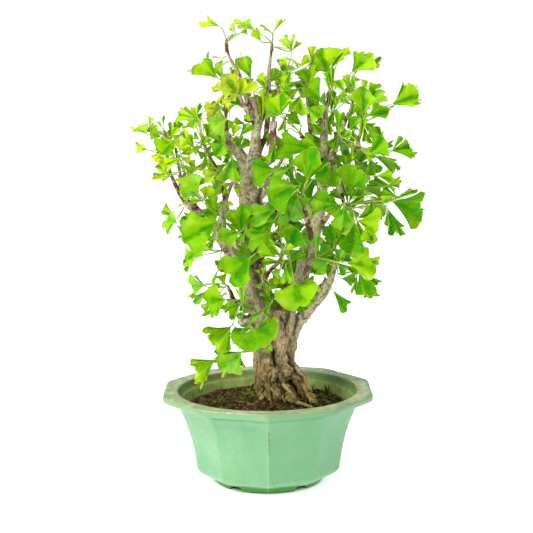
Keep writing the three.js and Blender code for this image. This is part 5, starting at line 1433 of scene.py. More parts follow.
def bark_finish(bark):
    f = Finish("ginkgo_bark")
    limb = f.node(
        "ShaderNodeCombineXYZ", None,
        {0: f.mark("limb_x"), 1: f.mark("limb_y"), 2: f.mark("limb_z")})
    girth = f.mark("girth")
    hollow_shade = f.mark("bark_hollow")

    def along(x, z):
        return f.stretched(x, x, z, limb)

    plates = f.noise(1, 4, 0.62, along(190, 80))
    cracks = f.noise(1, 4, 0.7, along(560, 190))
    fine = f.noise(900, 4, 0.65)
    patch = f.noise(26, 4, 0.6)
    z = f.axis("Z")
    old = f.ramp(
        plates, (0.30, (0.175, 0.108, 0.026)), (0.44, (0.41, 0.285, 0.10)),
        (0.56, bark), (0.72, (0.85, 0.71, 0.44)))
    young = f.ramp(
        plates, (0.30, (0.36, 0.30, 0.16)), (0.5, (0.66, 0.60, 0.41)),
        (0.7, (0.82, 0.78, 0.61)))
    f.base = f.blend(girth.between(0.007, 0.015).higher(z.between(0.15, 0.135)), young, old)
    f.coat(z.between(0.13, 0.2) * 0.35, (0.82, 0.73, 0.53))
    f.coat(cracks.between(0.46, 0.34) * 0.7, (0.10, 0.068, 0.028))
    f.coat(patch.between(0.52, 0.68) * 0.4, (0.78, 0.70, 0.48))
    f.coat(f.noise(19, 3, 0.6).between(0.54, 0.66) * 0.4, (0.24, 0.15, 0.055))
    f.coat(fine.between(0.44, 0.3) * 0.5, (0.07, 0.05, 0.025))
    dapple = f.noise(1, 5, 0.72, along(300, 210))
    f.coat(dapple.between(0.47, 0.38) * 0.75, (0.10, 0.075, 0.03))
    f.coat(dapple.between(0.55, 0.66) * 0.45, (0.86, 0.80, 0.62))
    f.coat(f.noise(1, 4, 0.7, along(70, 45)).between(0.56, 0.63) * 0.6, (0.13, 0.10, 0.042))
    # pale roots, and earth and moss at the foot
    f.coat(
        z.between(0.14, 0.128) * girth.between(0.0105, 0.0085) * 0.85, f.ramp(cracks,
        (0.35, (0.24, 0.16, 0.045)), (0.5, (0.58, 0.46, 0.20)), (0.7, (0.76, 0.65, 0.35))))
    f.coat(z.between(0.132, 0.112) * patch.between(0.48, 0.6) * 0.55, (0.26, 0.27, 0.07))
    f.coat(z.between(0.112, 0.101) * 0.5, (0.085, 0.055, 0.02))
    moss = z.between(0.145, 0.12) * f.noise(75, 4, 0.7).between(0.5, 0.6)
    f.coat(moss * 0.6, (0.12, 0.14, 0.02))
    # red-brown young wood, with dark scars
    thin = girth.between(0.0036, 0.0024) * z.between(0.14, 0.16)
    f.coat(thin * 0.5, (0.27, 0.17, 0.085))
    f.coat(
        girth.between(0.0066, 0.0035) * f.noise(46, 4, 0.7).between(0.48, 0.54)
        * z.between(0.13, 0.15) * 0.94, (0.13, 0.033, 0.006))
    f.coat(f.cells(1, along(210, 330)).between(0.24, 0.1) * 0.75, (0.06, 0.042, 0.02))
    # painted shade: near black in the furrows, the hollows between burrs and the creases
    f.coat(hollow_shade, (0.016, 0.010, 0.003))
    height = plates + 0.6 * cracks + 0.3 * fine + 0.6 * dapple
    return f.surface(
        0.86, f.bump(height, 0.0028, 0.9), Specular_IOR_Level=0.15)


def marked_with_limbs(mesh, limbs):
    """Gives a mesh its limb marks; returns its points in mm, limb places and radii."""
    count = len(mesh.vertices)
    points = np.zeros(count * 3, np.float32)
    mesh.vertices.foreach_get("co", points)
    points = (points.reshape(-1, 3).astype(float) - POT_AXIS) / MM
    places, radii = limbs.places(points)
    marks = {"limb_x": places[:, 0] * MM, "limb_y": places[:, 1] * MM,
             "limb_z": places[:, 2] * MM, "girth": radii * MM}
    for name, values in marks.items():
        mark_points(mesh, name, values)
    return points, places, radii


THICK = 3.0  # mm of radius below which a limb's end is swept alone, not fused with the wood


def build_wood(settings):
    lines = wood_lines()
    limbs = LimbSpace(lines)
    shape = Shape()
    for line in [*lines, *(smoothed(placed(path), 3) for path in (FLARE, PALE_STEM))]:
        thick = line[line[:, 3] >= THICK]
        if len(thick) > 1:
            thick[:, 3] = thick[:, 3] * 1.02 + 0.3
            sides = 24 if thick[:, 3].max() > 9 else 14
            shape.tube(thick, sides)
    wood = shape.piece("tree_bark", bark_finish(tuple(settings.bark)))
    bpy.context.view_layer.objects.active = wood
    remesh = wood.modifiers.new("fused", "REMESH")
    remesh.mode = "VOXEL"
    remesh.voxel_size = settings.voxel
    remesh.use_smooth_shade = True
    smooth = wood.modifiers.new("eased", "SMOOTH")
    smooth.factor = 0.5
    smooth.iterations = 5
    for modifier in (remesh, smooth):
        bpy.ops.object.modifier_apply(modifier=modifier.name)
    mesh = wood.data
    normals = np.zeros(len(mesh.vertices) * 3, np.float32)
    mesh.vertices.foreach_get("normal", normals)
    normals = normals.reshape(-1, 3).astype(float)
    points, places, radii = marked_with_limbs(mesh, limbs)
    old = np.clip((radii - 4) / 14, 0, 1)
    furrow = layered_noise(places / [7, 7, 17], 3, 31)
    ridged = np.clip(1 - np.abs(furrow) * 2.6, 0, 1)
    lumps = layered_noise(points / 24, 2, 37)
    knobs = layered_noise(points / 8, 2, 41)
    burrs = layered_noise(points / 4.6, 2, 47)
    sheet = sheet_places(points)
    gnarled = np.zeros(len(points))
    for u, v, radius in GNARLS:
        near = np.linalg.norm(sheet - [u, v], axis=1) * SHEET_UNIT
        gnarled = np.maximum(gnarled, np.exp(-(near / radius) ** 4))
    shift = settings.fissures / MM * (0.1 + 0.9 * old) * -ridged ** 1.5 * (0.5 + gnarled)
    shift += settings.lumps / MM * (0.1 + 0.9 * np.clip(radii / 26, 0, 1)) * lumps
    shift += 0.9 * (0.5 + 0.5 * old) * knobs
    shift += 0.5 * np.clip(burrs, -1, 1)
    shift += settings.burrs / MM * gnarled * np.clip(burrs, -1, 1)
    # how dark the furrows and the hollows between burrs are painted as shade
    hollow_shade = np.maximum(ridged ** 3 * 0.3 * old, gnarled * np.clip(-1.7 * burrs - 0.25, 0, 0.9))
    # dents and swellings that face the front; the dents are painted dark as shade
    facing = np.clip(-normals[:, 1] * 1.6 + 0.1, 0, 1) * (points[:, 1] < 12)
    for *line, (width, depth, crease_shade) in CREASES:
        near = np.min([segment_distance(sheet, *ends) for ends in zip(line, line[1:])], axis=0)
        inside = np.exp(-(near * SHEET_UNIT / width) ** 2) * facing
        shift -= depth * inside
        hollow_shade = np.maximum(hollow_shade, inside * crease_shade)
    for u, v, radius, height in SWELLINGS:
        near = np.linalg.norm(sheet - [u, v], axis=1) * SHEET_UNIT
        shift += height * np.exp(-(near / radius) ** 2) * facing
    moved = (points + normals * shift[:, None]) * MM + POT_AXIS
    mesh.vertices.foreach_set("co", moved.astype(np.float32).ravel())
    mark_points(mesh, "bark_hollow", hollow_shade)
    mesh.update()
    dress(wood, "bark", "tree_wood")


# Thin roots over the flare and the soil: u, v and radius in mm
CREEPING_ROOTS = paths_of("""
  287 400 1, 293 402 1.8, 300 402.6 2, 306 405 1.7, 310 407 1;
  294 398 .8, 303 400 1.4, 310 402 1.6, 318 404 1.2;
  312 396 .8, 318 397 1.3, 324 400 1.2, 331 403 .7;
  293 376 1.2, 297 382 1.8, 302 392 1.6, 305 399 1.4, 312 404 .9;
  278 384 1.2, 281 391 1.6, 283 398 1.8, 286 403 1;
  270 392 1, 268 397 1.5, 271 402 1.2;
  234 401 .6, 243 402 1, 251 404 .9, 257 403 .5
""")


def build_twigs(settings):
    """The thin ends of the limbs, the spur shoots and the thin roots that creep over the flare."""
    draw = draws_from(ROOTLET_SEED)
    shape = Shape()
    lines = wood_lines()
    for line in lines:
        thin = line[line[:, 3] < THICK + 0.6]
        if len(thin) > 1:
            thin = smoothed(thin, 1.6)
            thin[:, 3] *= 1 + 0.16 * layered_noise(thin[:, :3] / 3.2, 2, 43)
            shape.tube(thin, 10)
    for spray in [*SPRAYS, *TUFTS]:
        start, end = on_sheet(*spray["from"]), on_sheet(*spray["tip"])
        length = np.linalg.norm(end - start)
        steps = max(6, round(length / 0.9))
        line = []
        for i in range(steps + 1):
            t = i / steps
            ring = 0.32 * abs(math.sin(t * length * 1.15))
            line.append([*(start + (end - start) * t), SPUR_RADIUS * (1.02 - 0.12 * t) + ring])
        shape.tube(np.array(line), 12)
    trunk = bpy.data.objects["tree_bark"].data
    bark = BVHTree.FromPolygons(
        [point.co for point in trunk.vertices], [face.vertices for face in trunk.polygons])
    for path in CREEPING_ROOTS:
        line = clung([[u, v, 0, radius] for u, v, radius in path], bark)
        line = smoothed(line, 1.6)
        line[:, 3] *= 1 + 0.25 * layered_noise(line[:, :3] / 4, 2, 53)
        shape.tube(line, 10)
    for _ in range(settings.rootlets):
        u = 262 + 46 * next(draw)
        v = 372 + 26 * next(draw)
        lean = (u - 274) / 30 + 0.8 * (next(draw) - 0.5)
        path = []
        for k in range(6):
            t = k / 5
            across = u + lean * 13 * t + 2.4 * (next(draw) - 0.5)
            down = v + 20 * t * (0.5 + 0.5 * next(draw))
            path.append([across, down, 0, (1.7 - 1.1 * t) * (0.7 + 0.5 * next(draw))])
        line = clung(path, bark)
        if len(line) > 2:
            line = smoothed(line, 1.6)
            shape.tube(line, 8)
    mesh = shape.mesh("twig_bark")
    marked_with_limbs(mesh, LimbSpace(lines))
    dress(piece_of(mesh, "twig_bark", bpy.data.materials["ginkgo_bark"]), "bark")


def clung(path, bark):
    """A path laid on the bark's or soil's face that shows at each of its sheet places."""
    line = []
    start = Vector((EYE * MM + POT_AXIS).tolist())
    for u, v, _, radius in path:
        sight = unit(on_sheet(u, v, 0) - EYE)
        place = bark.ray_cast(start, Vector(sight.tolist()))[0]
        point = (np.array(place) - POT_AXIS) / MM if place else None
        if point is None or point[2] < soil_height(point[0], point[1]):
            point = on_soil(u, v)
            if np.hypot(point[0], point[1]) > LITTER_REACH:
                break
        line.append([*(point + [0, -0.2, 0.2]), radius])
    return np.array(line)


# ------------------------------------------------------------------ the leaves
@dataclass
class Blade:
    """A fan-shaped blade: its foot, its frame and its form."""

    foot: np.ndarray
    axis: np.ndarray
    side: np.ndarray
    normal: np.ndarray
    length: float
    half: float
    cup: float
    phase: float

    @classmethod
    def spanning(cls, foot, edge, span, roll, cup, phase):
        """The blade that shows a span of angle to the front when it is rolled."""
        axis = edge - foot
        length = np.linalg.norm(axis)
        axis = axis / length
        facing = unit(EYE - foot)
        facing = unit(facing - axis * (facing @ axis))
        facing = facing * math.cos(roll) + np.cross(axis, facing) * math.sin(roll)
        half = math.atan2(math.sin(span / 2), math.cos(span / 2) * math.cos(roll))
        return cls(foot, axis, np.cross(facing, axis), facing, length, half, cup, phase)

    def points(self, turn, reach, ripple=0.0):
        """Places at a turn from -1 to 1 across the fan and a reach from its foot to its edge."""
        turn, reach = np.asarray(turn, float), np.asarray(reach, float)
        angle = turn * self.half
        notch = 0.16 * np.exp(-(turn / 0.14) ** 2)
        corner = 0.1 * turn ** 4
        wave = 0.03 * np.sin(9 * turn + self.phase)
        if ripple:
            slit = (0.5 + 0.5 * math.sin(5 * self.phase)) ** 2
            notch = (0.02 + 0.14 * slit) * np.exp(-(turn / 0.09) ** 2)
            corner = 0.03 * turn ** 4 + 0.05 * turn ** 16
            wave = 0.018 * np.sin(7 * turn + self.phase) + 0.025
            wave = wave + 0.013 * np.sin(19 * turn + 2 * self.phase)
            wave = wave + 0.006 * np.sin(37 * turn + self.phase)
            angle = angle * (0.74 + 0.3 * reach ** 1.5)
            uneven = 0.09 * np.sin(2.2 * turn + 5 * self.phase)
            wave = wave + uneven + 0.045 * np.sin(4.7 * turn + 2 * self.phase) - 0.03
            reach = reach * GROWTH
        radius = self.length * reach * (1 - (notch + corner - wave) * reach * reach)
        cup = self.cup * (1.5 if ripple else 1)
        rise = cup * (turn * turn - 0.35) * radius * min(self.half, 1)
        rise = rise + 0.05 * self.length * reach * reach * np.sin(4 * turn + self.phase)
        rise = rise - 0.1 * self.length * reach * reach
        if ripple:
            rise = rise + ripple * self.length * reach ** 1.5 * self.fold(turn)
        across = (radius * np.cos(angle))[..., None], (radius * np.sin(angle))[..., None]
        return (self.foot + self.axis * across[0] + self.side * across[1]
                + self.normal * rise[..., None])

    def fold(self, turn):
        """How far the blade's waves rise at a turn, about -1 to 1."""
        long_wave = np.sin(4.6 * turn + 3 * self.phase)
        return (long_wave + 0.22 * np.sin(11 * turn + self.phase)) / 1.2


def stalk_of(bud, heading, blade):
    """Control points of the stalk's curve from its bud to the blade's foot."""
    gap = np.linalg.norm(blade.foot - bud)
    toward = unit(blade.foot - bud)
    back = max(0.0, -(toward @ heading))
    lead = unit(toward * 0.8 + heading * (0.6 + back))
    return np.array([
        bud, bud + lead * 0.32 * gap, blade.foot - blade.axis * 0.3 * gap, blade.foot])


def along_curve(curve, t):
    t = np.asarray(t, float)[..., None]
    rest = 1 - t
    return (rest ** 3 * curve[0] + 3 * rest ** 2 * t * curve[1]
            + 3 * rest * t ** 2 * curve[2] + t ** 3 * curve[3])


def samples_of(blade, curve):
    rings = max(2, math.ceil(blade.length / SAMPLE_STEP))
    turns, reaches = [], []
    for ring in range(1, rings + 1):
        reach = ring / rings
        steps = max(2, math.ceil(2 * blade.half * blade.length * reach / SAMPLE_STEP))
        turns += [2 * i / steps - 1 for i in range(steps + 1)]
        reaches += [reach] * (steps + 1)
    steps = math.ceil(np.linalg.norm(curve[3] - curve[0]) * 1.15 / SAMPLE_STEP)
    stalk = along_curve(curve, [(i + 1) / steps for i in range(steps)])
    return blade.points(turns, reaches), stalk[np.linalg.norm(stalk - curve[0], axis=1) > 9]


def wood_balls():
    balls = []
    spurs = [[[*on_sheet(*spray["from"]), SPUR_RADIUS], [*on_sheet(*spray["tip"]), SPUR_RADIUS]]
             for spray in SPRAYS]
    for path in [*map(placed, [BUTT, *TRUNKS, *ROOTS, *BRANCHES]), *map(np.array, spurs)]:
        for start, end in zip(path, path[1:]):
            steps = max(1, math.ceil(np.linalg.norm(end[:3] - start[:3]) / 4))
            balls += [start + (end - start) * (k + 1) / steps for k in range(steps)]
    return np.array(balls)


CLASH = 1000  # crowding of a point that meets the wood or another spray
BEHIND = 40  # mm of depth from which a spur stands behind the crown
BEHIND_COST = 30  # sheet units that such a spur counts as farther away
PERCH_RADIUS = 9  # mm of radius up to which a limb bears young blades
PERCH_GAP = 7  # sheet units between a young blade's foot and its perch


class Crown:
    """Settles blades clear of the wood and of one another."""

    DEPTHS = (0, 5, -5, 10, -10, 15, -15, 20, -20, 26, -26, 32, -32, 40, -40)

    def __init__(self):
        self.balls = wood_balls()
        self.taken = np.zeros((0, 5))

    def crowding(self, points, own):
        low, high = points.min(0) - BLADE_CLEARANCE, points.max(0) + BLADE_CLEARANCE
        at = self.taken[:, :3]
        near = self.taken[((at > low) & (at < high)).all(1)]
        hits = np.zeros(len(points))
        if len(near):
            apart = ((points[:, None] - near[None, :, :3]) ** 2).sum(2) < BLADE_CLEARANCE ** 2
            hits[(apart & (near[:, 3] == own) & (near[:, 4] > 0)).any(1)] = 1
            hits[(apart & (near[:, 3] != own)).any(1)] = CLASH
        reach = self.balls[:, 3] + WOOD_CLEARANCE
        apart = ((points[:, None] - self.balls[None, :, :3]) ** 2).sum(2) < reach ** 2
        hits[apart.any(1)] = CLASH
        return hits.sum()

    def settle(self, own, tip, heading, plan, phase, must=True):
        """The blade and its stalk, pushed in depth to where they are clear."""
        bud = tip + heading * (GAP + BUD_LENGTH / 2)
        foot, edge, span, roll, tone, cup = plan
        best = None
        for depth in self.DEPTHS:
            blade = Blade.spanning(
                pushed(foot, depth), pushed(edge, depth), span, roll, cup, phase)
            curve = stalk_of(bud, heading, blade)
            points, stalk = samples_of(blade, curve)
            crowd = self.crowding(np.vstack([points, stalk]), own)
            if best is None or crowd < best[0]:
                best = crowd, blade, curve, points, stalk
            if crowd == 0:
                break
        crowd, blade, curve, points, stalk = best
        if not must and crowd >= CLASH:
            return None
        self.taken = np.vstack([
            self.taken, np.column_stack([points, np.full((len(points), 2), (own, 1.0))]),
            np.column_stack([stalk, np.full((len(stalk), 2), (own, 0.0))])])
        return blade, curve, tone


def smooth_share(value, none, full):
    """0 at none, 1 at full and straight in between."""
    return min(1.0, max(0.0, (value - none) / (full - none)))


def drawn_plan(tip, heading, reach, draw):
    """A blade of a spray behind, drawn by the seed."""
    angle = 2 * math.pi * next(draw)
    spread = 0.5 + 0.5 * next(draw)
    radial = np.array([math.cos(angle), 0.55 * next(draw), math.sin(angle)])
    foot = tip + heading * (12 + 10 * next(draw)) + radial * reach * 0.7 * spread
    foot[1] += 4 + 16 * next(draw)
    out = radial.copy()
    out[1] += 0.4 * next(draw)
    out[2] -= 0.5 * next(draw)
    edge = foot + unit(out) * (20 + 10 * next(draw))
    span = math.radians(62 + 42 * next(draw))
    roll = math.radians(120 * (next(draw) - 0.5))
    tone = 0.1 + 0.4 * next(draw)
    return foot, edge, span, roll, tone, 0.2 + 0.2 * next(draw)


def planned(row, roll_sign):
    u, v, edge_u, edge_v, depth, lean, span, roll, tone, cup = row
    tone += 0.22 * smooth_share(v, 140, 60)  # painted light: paler at the top and on the left
    tone += 0.2 * smooth_share(u, 240, 180) * smooth_share(v, 260, 200)
    tone += 0.14 * smooth_share(u, 245, 215) * smooth_share(v, 300, 340)
    tone -= 0.12 * smooth_share(u, 232, 250) * smooth_share(v, 130, 160)  # painted shade: deeper inside the crown
    return (on_sheet(u, v, depth), on_sheet(edge_u, edge_v, depth + lean), math.radians(span),
            math.radians(roll) * roll_sign, tone, cup)


def shares_of(row):
    """Four even shares from 0 to 1 that belong to a row's own place."""
    key = 0.713 * row[0] + 0.371 * row[1] + 0.137 * row[2] + 0.291 * row[3]
    return [key * times % 1 for times in (1, 7, 31, 57)]


def side_of(share):
    return -1 if share < 0.5 else 1


def between_places(path):
    """The places of a path and the ones halfway between them."""
    path = np.array(path, float)
    return [*path, *((path[1:] + path[:-1]) / 2)]


def settled_crown():
    """Every spray's tip, heading and leaves: the large blades first, then the small."""
    draw = draws_from(CROWN_SEED)
    crown = Crown()
    sprays = []
    for own, spray in enumerate(SPRAYS):
        tip = on_sheet(*spray["tip"])
        heading = unit(tip - on_sheet(*spray["from"]))
        leaves = []
        for count, row in enumerate(spray["blades"] or [None] * DRAWN_BLADES):
            phase = 2 * math.pi * next(draw)
            sign = side_of(next(draw))
            plan = planned(row, sign) if row else drawn_plan(tip, heading, spray["reach"], draw)
            across, down = MOVED_BLADES.get((own + 1, count), (0, 0))
            move = np.array([across, 0, -down]) * SHEET_UNIT
            plan = plan[0] + move, plan[1] + move, *plan[2:]
            leaves.append(crown.settle(own, tip, heading, plan, phase, bool(row)))
        sprays.append((tip, heading, [leaf for leaf in leaves if leaf]))

    def grow(table):
        for number, *row in table:
            own = int(number) - 1
            tip, heading, leaves = sprays[own]
            first, second, _, _ = shares_of(row)
            plan = planned(row, side_of(second))
            leaves.append(crown.settle(own, tip, heading, plan, 2 * math.pi * first))

    grow(SMALL_BLADES)
    spurs = [spray["tip"] for spray in SPRAYS]
    perches = [place for path in (*TRUNKS, *BRANCHES) for place in between_places(path)
               if place[3] < PERCH_RADIUS and place[2] < BEHIND]
    perches += [[*place, 0] for place in spurs if place[2] < BEHIND]
    for u, v, edge_u, edge_v, span, tone in FILL_BLADES:
        own = min(range(len(spurs)), key=lambda i: math.dist(spurs[i][:2], (u, v)) + (
            BEHIND_COST if spurs[i][2] > BEHIND else 0))
        perch = min(perches, key=lambda place: abs(math.dist(place[:2], (u, v)) - PERCH_GAP))
        start = on_sheet(*perch[:3])
        first, second, third, fourth = shares_of([u, v, edge_u, edge_v])
        row = [u, v, edge_u, edge_v, perch[2] - 8 + 12 * third, 6 * (fourth - 0.5), span,
               40 * fourth, tone, 0.3]
        plan = planned(row, side_of(second))
        heading = unit(plan[0] - start)
        tip = start + heading * max(0, perch[3] - 1.5)
        sprays[own][2].append(crown.settle(own, tip, heading, plan, 2 * math.pi * first))
    for spray in TUFTS:
        tip = on_sheet(*spray["tip"])
        heading = unit(tip - on_sheet(*spray["from"]))
        leaves = [crown.settle(len(sprays), tip, heading, planned(row, 1), shares_of(row)[0] * 6)
                  for row in spray["blades"]]
        sprays.append((tip, heading, leaves))
    grow(BACK_BLADES)
    return sprays


def blade_finish(name, main, deeper, paler):
    f = Finish(name)
    angle, reach = f.mark("leaf_angle"), f.mark("leaf_reach")
    tone, under = f.mark("leaf_tone"), f.mark("leaf_under")
    age = f.mark("leaf_age")
    f.base = f.ramp(tone, *deeper, (0.6, tuple(main)), *paler)
    veins = (angle * 84 + age * 9).sine() * (1 - reach.between(0.35, 0.7) * 0.5)
    veins = veins + (angle * 168 + age * 5).sine() * reach.between(0.3, 0.75) * 0.6
    veins = veins * 0.5 + 0.5
    f.coat(veins.between(0.45, 1.0) * (0.12 + 0.3 * tone), (0.26, 0.47, 0.01))
    mottle = f.noise(260, 4, 0.7).between(0.5, 0.66)
    f.coat(mottle * 0.3, (0.30, 0.52, 0.03))
    blotch = f.noise(70, 4, 0.6)
    # painted light and shade: darker in the folds' valleys and near the foot, paler towards the ridges
    # and the edge, in patches laid by a noise
    light = f.mark("leaf_fold") * 0.5 + (blotch - 0.5) * 2.4 + (reach - 0.6) * 0.7
    f.coat(light.between(0.1, -0.6) * 0.8, (0.014, 0.215, 0.001))
    f.coat(light.between(0.1, 0.7) * (0.12 + 0.5 * tone), (0.44, 0.68, 0.02))
    f.coat(light.between(0.5, 1.1) * (0.22 + 0.6 * tone), (0.48, 0.71, 0.09))
    f.coat(reach.between(0.3, 0.02) * 0.4, (0.28, 0.48, 0.02))
    f.coat(under * 0.4, (0.24, 0.50, 0.06))
    # painted sheen: a faint grey reflection on some blades, more of it on the left
    f.coat(1.3 * f.mark("leaf_bloom") * f.noise(90, 3).between(0.42, 0.6), (0.46, 0.66, 0.24))
    rim = reach.between(0.96, 0.99)
    f.coat(rim * 0.42, (0.48, 0.64, 0.08))
    brown = f.noise(240, 3, 0.7).between(0.66, 0.72) * reach.between(0.7, 0.95)
    f.coat(brown * 0.8, (0.24, 0.14, 0.03))
    height = veins * 0.6 + f.noise(500, 2) * 0.4
    return f.surface(
        0.42 + 0.16 * f.noise(60) + 0.16 * under, f.bump(height, 0.00025, 0.5),
        Specular_IOR_Level=0.04)


# The tones of a blade that are deeper, and then paler, than its main colour
GREENS = (
    ((0.0, (0.055, 0.25, 0.001)), (0.3, (0.18, 0.46, 0.001))),
    ((0.8, (0.42, 0.63, 0.006)), (1.0, (0.60, 0.72, 0.012))))
YELLOW_GREENS = (
    ((0.0, (0.09, 0.30, 0.003)), (0.3, (0.22, 0.46, 0.005))),
    ((0.8, (0.50, 0.62, 0.01)), (1.0, (0.60, 0.64, 0.02))))


def stalk_finish():
    f = Finish("leaf_stalk")
    f.base = f.ramp(
        f.noise(70, 3), (0.35, (0.22, 0.40, 0.03)), (0.65, (0.40, 0.55, 0.09)))
    return f.surface(0.5, f.bump(f.noise(700, 2), 0.0002, 0.4), Specular_IOR_Level=0.35)


def bud_finish():
    f = Finish("spur_bud")
    scales = f.cells(640)
    f.base = f.ramp(
        scales, (0.1, (0.34, 0.23, 0.12)), (0.5, (0.22, 0.135, 0.06)),
        (0.8, (0.10, 0.055, 0.028)))
    f.coat(f.noise(400, 3).between(0.42, 0.6) * 0.7, (0.33, 0.36, 0.10))
    return f.surface(0.65, f.bump(scales, 0.0006, 0.7), Specular_IOR_Level=0.3)


def add_blade(shape, blade, tone, age, settings):
    young = blade.length < YOUNG_LENGTH
    turns = np.linspace(-1, 1, 17 if young else settings.across)
    reaches = np.linspace(0, 1, 7 if young else settings.outward) ** 0.85
    reaches[0] = 0.015
    turn, reach = np.meshgrid(turns, reaches, indexing="ij")
    top = blade.points(turn, reach, settings.ripple)
    normal = np.cross(np.gradient(top, axis=1), np.gradient(top, axis=0))
    size = np.linalg.norm(normal, axis=2)[..., None]
    normal = normal / np.maximum(size, 1e-9)
    flip = np.sign((normal * blade.normal).sum())
    thick = settings.thickness / MM * (1 - 0.55 * reach)[..., None]
    low = top - normal * flip * thick
    rows, columns = turn.shape
    size = rows * columns
    upper = grid_faces(rows, columns)
    faces = upper + [tuple(i + size for i in face[::-1]) for face in upper]
    ring = ([(i, 0) for i in range(rows)] + [(rows - 1, j) for j in range(1, columns)]
            + [(i, columns - 1) for i in range(rows - 2, -1, -1)]
            + [(0, j) for j in range(columns - 2, 0, -1)])
    ids = [i * columns + j for i, j in ring]
    for a, b in zip(ids, ids[1:] + ids[:1]):
        faces.append((b, a, a + size, b + size))
    wanted = np.cross(top[1, -1] - top[0, -1], top[0, -1] - top[0, -2]) @ (normal[0, -1] * flip)
    if wanted > 0:
        faces = [face[::-1] for face in faces]
    both = np.vstack([top.reshape(-1, 3), low.reshape(-1, 3)])
    # how the blade is painted lighter or darker across its folds, as painted light and shade
    fold = blade.fold(turn) * (1 - 0.5 * np.abs(turn)) + 0.5 * np.cos(2.2 * turn + blade.phase)
    turned = blade.length < TURNED_LENGTH and math.sin(7 * blade.phase) > 0.8
    under = [1.0, 0.0] if turned else [0.0, 1.0]
    # painted sheen: on some blades at random, a little more on the left of the crown
    left = smooth_share(sheet_places(blade.foot[None])[0, 0], 340, 190)
    painted_sheen = max(0.0, 0.08 * left + 0.5 * age - 0.38)
    shape.add(
        both, faces, 0, leaf_angle=np.tile(turn.ravel() * blade.half, 2),
        leaf_reach=np.tile(reach.ravel(), 2), leaf_tone=tone, leaf_age=age,
        leaf_under=np.repeat(under, size), leaf_fold=np.tile(fold.ravel(), 2),
        leaf_bloom=painted_sheen)


def add_stalk(shape, blade, curve):
    steps = max(6, round(np.linalg.norm(curve[3] - curve[0]) / 3.5))
    shares = np.linspace(0, 1, steps + 1)
    line = np.column_stack([along_curve(curve, shares), 0.8 - 0.22 * shares])
    ends = [[*(blade.foot + blade.axis * reach - blade.normal * 0.3), radius]
            for reach, radius in ((1.6, 0.45), (3.4, 0.22))]
    shape.tube(np.vstack([line, ends]), 6, 1)


def add_bud(shape, tip, heading):
    """A blunt bud of overlapping scales."""
    steps, sides = 14, 14
    line = []
    for i in range(steps + 1):
        t = i / steps
        swell = math.sqrt(max(0, 1 - (1.75 * t - 0.8) ** 2)) if t < 0.99 else 0.15
        scale = 1 + 0.1 * ((t * 4.5) % 1)
        place = tip + heading * (BUD_LENGTH * 0.8 * t - 0.5)
        line.append([*place, BUD_RADIUS * max(swell, 0.3) * scale])
    rings = swept(np.array(line), sides)
    centres = np.array(line)[:, None, :3]
    turns = turns_of(sides)
    lobes = 1 + 0.07 * np.cos(5 * turns[None] + np.arange(steps + 1)[:, None] // 3 * 2.2)
    shape.add(centres + (rings - centres) * lobes[..., None], tube_faces(steps + 1, sides), 2)


YELLOW_SPRAYS = (1, 8, 9, 15)
YOUNG_LENGTH = 19  # mm below which a blade has fewer points
TURNED_LENGTH = 26  # only blades shorter than this show their undersides


def build_leaves(settings):
    draw = draws_from(LEAF_SEED)
    stalk, bud = stalk_finish(), bud_finish()
    deep = blade_finish("ginkgo_green_blade", settings.green, *GREENS)
    pale = blade_finish("ginkgo_yellow_green_blade", settings.yellow_green, *YELLOW_GREENS)
    for number, (tip, heading, leaves) in enumerate(settled_crown(), 1):
        shape = Shape()
        add_bud(shape, tip, heading)
        for blade, curve, tone in leaves:
            add_blade(shape, blade, tone, next(draw), settings)
            add_stalk(shape, blade, curve)
        yellow = number in YELLOW_SPRAYS
        spray = shape.piece(
            f"ginkgo_leaves_{number:02d}", pale if yellow else deep, stalk, bud)
        node = f"leaf_spray_{number:02d}"
        dress(spray, "leaf_yellow_green" if yellow else "leaf_green",
              *([node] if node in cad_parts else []))


# ------------------------------------------------------------------ the stage
FLOOR_REACH = 30  # metres
FLOOR_DROP = 0.0002
PAPER_STRENGTH = 1.05
SENSOR_WIDTH = 36


